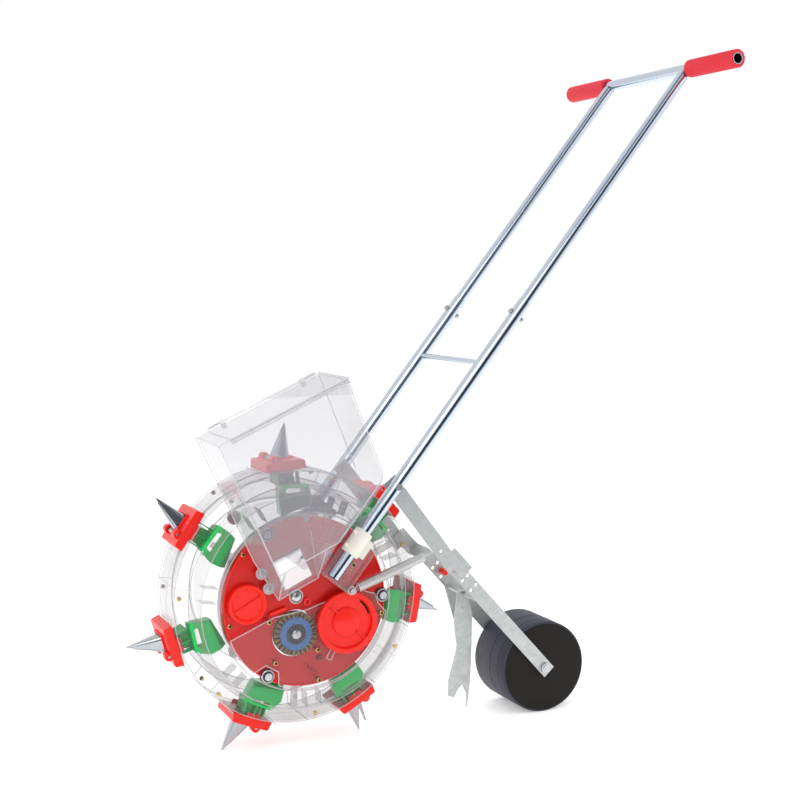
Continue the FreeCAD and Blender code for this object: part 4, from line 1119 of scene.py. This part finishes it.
# ---- press roller and arm ----------------------------------------------------------------------
@dataclass
class PressArm:
    """The black roller, its tension spring and the axle's ends."""

    layout: "Layout"

    def build(self) -> None:
        """Make the roller, the spring and the axle's ends."""
        self.build_roller()
        self.build_spring()
        self.build_axle_ends()

    def build_roller(self) -> None:
        """A moulded roller with rounded edges, two seams and dished ends."""
        x, z = self.layout.millimetres("press_roller")
        radius, half, rim = 81.4, 55.9, 78.0
        loop = [(rim, -half), (radius - 1.2, -half + 1.0), (radius, -half + 3.0)]
        for seam in (-half + 2 * half * 0.2, -half + 2 * half * 0.46):
            loop += [(radius, seam - 1.1), (radius - 1.4, seam - 0.3), (radius - 1.4, seam + 0.3),
                     (radius, seam + 1.1)]
        loop += [(radius, half - 3.0), (radius - 1.2, half - 1.0), (rim, half)]
        spot = self.layout.offset(x, z)
        # painted light: the tread gets the greyer colour that stands in for its lit side, the ends
        # keep the black
        piece("roller", spot.put(turned(loop, (0, 0), 128)), Look.LIT_TREAD_PE,
              "press_roller", replaces=("press_roller",))
        ends = [turned([(6.2, side * half * 0.9), (rim - 0.2, side * half * 0.9),
                        (rim - 0.2, side * (half - 0.2)), (rim - 2, side * half),
                        (20, side * (half - 0.6)), (6.2, side * (half - 0.6))], (0, 0), 128)
                for side in (-1, 1)]
        piece("roller_ends", spot.put(join(ends)), Look.BLACK_PE, "press_roller")

    def build_spring(self) -> None:
        """A close-wound tension spring with a hook at each end.

        The coil's wire runs round the line from anchor to hook: P(t) = A + L t D
        + r (U cos(2 pi n t) + V sin(2 pi n t)), with n turns.
        """
        spot = self.layout.offset(0, 0)
        anchor = self.layout.on_tube(2, -44)
        anchor = np.array([anchor[0], -116.5, anchor[1]])
        hook = np.array([232.1, -98.0, 65.0])
        span = hook - anchor
        length = np.linalg.norm(span)
        along = span / length
        side = np.cross(along, [0.0, 1.0, 0.0])
        side /= np.linalg.norm(side)
        other = np.cross(along, side)
        before, after = 12.0, 30.0
        turns = int((length - before - after) / 2.9)
        t = np.linspace(0.0, 1.0, turns * 14)[:, None]
        coil = (anchor + along * (before + (length - before - after) * t)
                + 7.0 * (side * np.cos(TURN * turns * t) + other * np.sin(TURN * turns * t)))
        sweep_angle = np.linspace(0.0, 1.5 * math.pi, 20)[:, None]
        first = anchor - 6.2 * (along * np.cos(sweep_angle + math.pi)
                                + side * np.sin(sweep_angle + math.pi))
        last = hook + 6.2 * (along * np.cos(sweep_angle) + side * np.sin(sweep_angle))
        first_path = np.vstack([first, anchor + along * 10 + side * 3, coil[:1]])
        last_path = np.vstack([coil[-1:], hook - along * (after - 4), hook - along * 12,
                               last[::-1]])
        parts = swept(coil, 1.15, 7) + swept(first_path, 1.0, 8) + swept(last_path, 1.0, 8)
        piece("tension_spring", spot.put(parts), Look.SPRING, "press_arm",
              replaces=("press_spring",))

    def build_axle_ends(self) -> None:
        """A bright cap on each end of the axle, with a darker disc behind it."""
        spot = self.layout.offset(0, 0)
        x, z = self.layout.millimetres("press_roller")
        caps, sockets = [], []
        for side in (-1, 1):
            low, high = sorted((side * 67.6, side * 68.2))
            caps.append(turned([(0, low), (3.6, low), (3.6, high), (0, high)],
                               (x + 0.9, z - 0.5), 32))
            low, high = sorted((side * 67.4, side * 67.9))
            sockets.append(turned([(0, low), (4.8, low), (4.8, high), (0, high)], (x, z), 32))
        piece("axle_caps", spot.put(join(caps)), Look.ZINC, "press_arm")
        piece("axle_sockets", spot.put(join(sockets)), Look.DARK_NYLON_AND_SHADE, "press_arm")


@dataclass
class Layout:
    """Places that every sub-assembly shares, read from the frame."""

    axle: tuple[float, float] = (0.0, 0.0)

    def __post_init__(self) -> None:
        """Find the drum's axle from its shell's box."""
        low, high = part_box("drum_shell_near")
        self.axle = ((low[0] + high[0]) / 2, (low[2] + high[2]) / 2)

    def spin(self, degrees: float) -> Spot:
        """A frame on the drum's axle.

        Args:
            degrees: where its a axis points, up from +X.

        Returns:
            The frame.
        """
        return Spot(self.axle[0], self.axle[1], degrees)

    def offset(self, x_mm: float, z_mm: float, degrees: float = 0.0) -> Spot:
        """A frame beside the drum's axle.

        Args:
            x_mm: how far along X.
            z_mm: how far up.
            degrees: where its a axis points, up from +X.

        Returns:
            The frame.
        """
        return Spot(self.axle[0] + x_mm * MM, self.axle[1] + z_mm * MM, degrees)

    def millimetres(self, node: str) -> tuple[float, float]:
        """The middle of a node's box, beside the drum's axle.

        Args:
            node: the CAD node.

        Returns:
            Its distances along X and up, in millimetres.
        """
        low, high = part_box(node)
        return (((low[0] + high[0]) / 2 - self.axle[0]) / MM,
                ((low[2] + high[2]) / 2 - self.axle[1]) / MM)

    @staticmethod
    def on_tube(along: float, across: float) -> tuple[float, float]:
        """A place beside the drum's axle, found from the handle's tubes.

        Args:
            along: distance up the tubes from their foot.
            across: distance square to them.

        Returns:
            The place's distances along X and up, in millimetres.
        """
        turn = math.radians(TUBE_DEGREES)
        return (TUBE_FOOT[0] + along * math.cos(turn) - across * math.sin(turn),
                TUBE_FOOT[1] + along * math.sin(turn) + across * math.cos(turn))


# ---- stage ----------------------------------------------------------------------------------
@dataclass
class Studio:
    """Pale sweep, soft lamps and the camera."""

    camera_place: tuple[float, float, float] = (-1.000475, -2.226610, 0.796454)
    camera_turn: tuple[float, float, float] = (84.6195, 0.7303, -23.9387)
    lens_mm: float = 64.114
    floor_half: float = 6.0
    floor_front: float = -1.5

    def build(self) -> None:
        """Put the stage in the scene."""
        self.add_floor()
        self.add_backdrop()
        self.add_lamps()
        self.add_camera()

    def add_floor(self) -> None:
        """A plain pale floor that glows faintly, so the shadows on it stay soft and light."""
        half, front = self.floor_half, self.floor_front
        mesh = bpy.data.meshes.new("floor")
        corners = [(-half, front, 0.0), (half, front, 0.0), (half, half, 0.0), (-half, half, 0.0)]
        mesh.from_pydata(corners, [], [(0, 1, 2, 3)])
        floor = bpy.data.objects.new("floor", mesh)
        bpy.context.scene.collection.objects.link(floor)
        material, tree, _ = blank("pale_floor")
        shader = add_node(tree, "ShaderNodeBsdfPrincipled",
                          {"Base Color": linear("#FCFCFC"), "Roughness": 0.8,
                           "Specular IOR Level": 0.1, "Emission Color": linear("#FFFFFF"),
                           "Emission Strength": 0.32})
        add_node(tree, "ShaderNodeOutputMaterial", {}, {"Surface": shader.outputs[0]})
        mesh.materials.append(material)

    def add_backdrop(self) -> None:
        """A white room with dark flags in front of the machine, seen only in reflections.

        The flags lie across the handle's direction, so the plated tubes show dark stripes: a
        direction D is dark where D . F, with F square to the tubes, falls between two values
        and D points towards the front.
        """
        world = bpy.data.worlds.new("studio")
        bpy.context.scene.world = world
        world.use_nodes = True
        tree = world.node_tree
        tree.nodes.clear()
        view = add_node(tree, "ShaderNodeTexCoord").outputs["Generated"]
        across = add_node(tree, "ShaderNodeVectorMath", {"operation": "DOT_PRODUCT"})
        across.inputs[1].default_value = (-0.775, 0.0, 0.632)
        tree.links.new(view, across.inputs[0])
        scaled = add_node(tree, "ShaderNodeMapRange", {"From Min": -1.0, "From Max": 1.0},
                          {"Value": across.outputs["Value"]})
        ramp = add_node(tree, "ShaderNodeValToRGB", {}, {"Fac": scaled.outputs[0]}).color_ramp
        stops = ((0.0, "#FFFFFF"), (0.22, "#FFFFFF"), (0.27, "#6B7686"), (0.40, "#39414D"),
                 (0.64, "#2E3540"), (0.68, "#FFFFFF"), (0.78, "#FFFFFF"), (0.82, "#76859A"),
                 (0.92, "#8C9AAD"), (0.96, "#FFFFFF"))
        for place, code in stops[1:-1]:
            ramp.elements.new(place).color = linear(code)
        ramp.elements[0].color = linear(stops[0][1])
        ramp.elements[-1].position, ramp.elements[-1].color = stops[-1][0], linear(stops[-1][1])
        depth = add_node(tree, "ShaderNodeSeparateXYZ", {}, {"Vector": view}).outputs["Y"]
        depth_ramp = add_node(tree, "ShaderNodeMapRange",
                              {"From Min": -0.05, "From Max": -0.25}, {"Value": depth})
        shade = add_node(tree, "ShaderNodeMix", {"data_type": "RGBA"})
        glossy = add_node(tree, "ShaderNodeLightPath").outputs["Is Glossy Ray"]
        front = add_node(tree, "ShaderNodeMath", {"operation": "MULTIPLY"})
        tree.links.new(depth_ramp.outputs[0], front.inputs[0])
        tree.links.new(glossy, front.inputs[1])
        shade.inputs[6].default_value = linear("#FFFFFF")
        ramp_node = next(node for node in tree.nodes if node.type == "VALTORGB")
        tree.links.new(front.outputs[0], shade.inputs[0])
        tree.links.new(ramp_node.outputs[0], shade.inputs[7])
        backdrop = add_node(tree, "ShaderNodeBackground", {"Strength": 1.0},
                            {"Color": shade.outputs[2]})
        add_node(tree, "ShaderNodeOutputWorld", {}, {"Surface": backdrop.outputs[0]})
        bpy.context.scene.view_settings.view_transform = "Standard"

    @staticmethod
    def add_lamps() -> None:
        """Three large soft lamps; the one behind doesn't show in reflections."""
        lamps = (("key", (-1.6, -2.2, 2.6), 24.0, 1.6), ("fill", (2.2, -2.0, 1.6), 8.0, 1.8),
                 ("rim", (0.6, 2.4, 2.4), 14.0, 1.6))
        for name, place, power, width in lamps:
            light = bpy.data.lights.new(name, "AREA")
            light.energy = power
            light.size = width
            lamp = bpy.data.objects.new(name, light)
            lamp.location = place
            lamp.visible_glossy = name != "rim"
            towards = mathutils.Vector((0.0, 0.0, 0.4)) - lamp.location
            lamp.rotation_euler = towards.to_track_quat("-Z", "Y").to_euler()
            bpy.context.scene.collection.objects.link(lamp)

    def add_camera(self) -> None:
        """A portrait lens standing at the front left of the machine."""
        lens = bpy.data.cameras.new("camera")
        lens.lens = self.lens_mm
        lens.sensor_width = 36.0
        camera = bpy.data.objects.new("camera", lens)
        camera.location = self.camera_place
        camera.rotation_euler = [math.radians(turn) for turn in self.camera_turn]
        bpy.context.scene.collection.objects.link(camera)
        bpy.context.scene.camera = camera


# ---- the CAD parts' own finishes ------------------------------------------------------------
CAD_LOOKS: dict[str, Look] = {
    "drum_shell_near": Look.CLEAR_SHELL, "drum_shell_far": Look.CLEAR_SHELL,
    "chamber_cover": Look.CLEAR_SHELL, "hopper": Look.CLEAR_HOPPER,
    "hopper_lid": Look.CLEAR_HOPPER, "housing": Look.RED_DISC, "far_plate": Look.CLEAR_SHELL,
    "beak_holders": Look.RED_ABS, "big_cap": Look.RED_ABS, "small_cap": Look.RED_ABS,
    "ring_gear": Look.CLEAR_EDGE_HIGHLIGHT, "hinge_pin": Look.CLEAR_EDGE_HIGHLIGHT,
    "stud_cap": Look.RED_ABS, "seed_roller": Look.RED_ABS, "seed_scoops": Look.GREEN_ABS,
    "lower_tube_near": Look.PLATED_TUBE, "lower_tube_far": Look.PLATED_TUBE,
    "upper_tube_near": Look.PLATED_TUBE, "upper_tube_far": Look.PLATED_TUBE,
    "handle_bar": Look.PLATED_TUBE, "cross_rod": Look.PLATED_TUBE,
    "grip_near": Look.RED_FOAM, "grip_far": Look.RED_FOAM,
    "press_roller": Look.BLACK_PE, "brush_wheel": Look.BRISTLE, "brush_hub": Look.BLUE_PP,
    "brush_gear": Look.DARK_NYLON_AND_SHADE, "saddle_clamp_near": Look.CREAM_NYLON,
    "saddle_clamp_far": Look.CREAM_NYLON, "rim_screws": Look.YELLOW_ZINC,
    "arm_plate_near": Look.GALVANISED, "arm_plate_far": Look.GALVANISED,
    "fork_bar_near": Look.GALVANISED, "fork_bar_far": Look.GALVANISED,
    "fork_tie": Look.GALVANISED, "covering_blade": Look.GALVANISED,
    "arm_gusset": Look.GALVANISED, "tube_bracket_near": Look.CLEAR_HOPPER,
    "tube_bracket_far": Look.CLEAR_HOPPER, "fixed_jaws": Look.BEAK_STEEL,
    "press_spring": Look.ZINC,
}


def dress_frame() -> None:
    """Give every CAD node a finish, beaks and hardware included."""
    for name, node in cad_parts.items():
        default = Look.BEAK_STEEL if name.startswith("beak_flap") else Look.ZINC
        node.data.materials.clear()
        node.data.materials.append(finish(CAD_LOOKS.get(name, default)))
        node.data.shade_smooth()
        node.data.set_sharp_from_angle(angle=math.radians(32))


def main() -> None:
    """Build the seeder's looks."""
    dress_frame()
    layout = Layout()
    for maker in ASSEMBLIES:
        maker(layout).build()
    Studio().build()


ASSEMBLIES: list = [Drum, Drive, Hopper, Handle, PressArm]

if __name__ == "__main__":
    main()
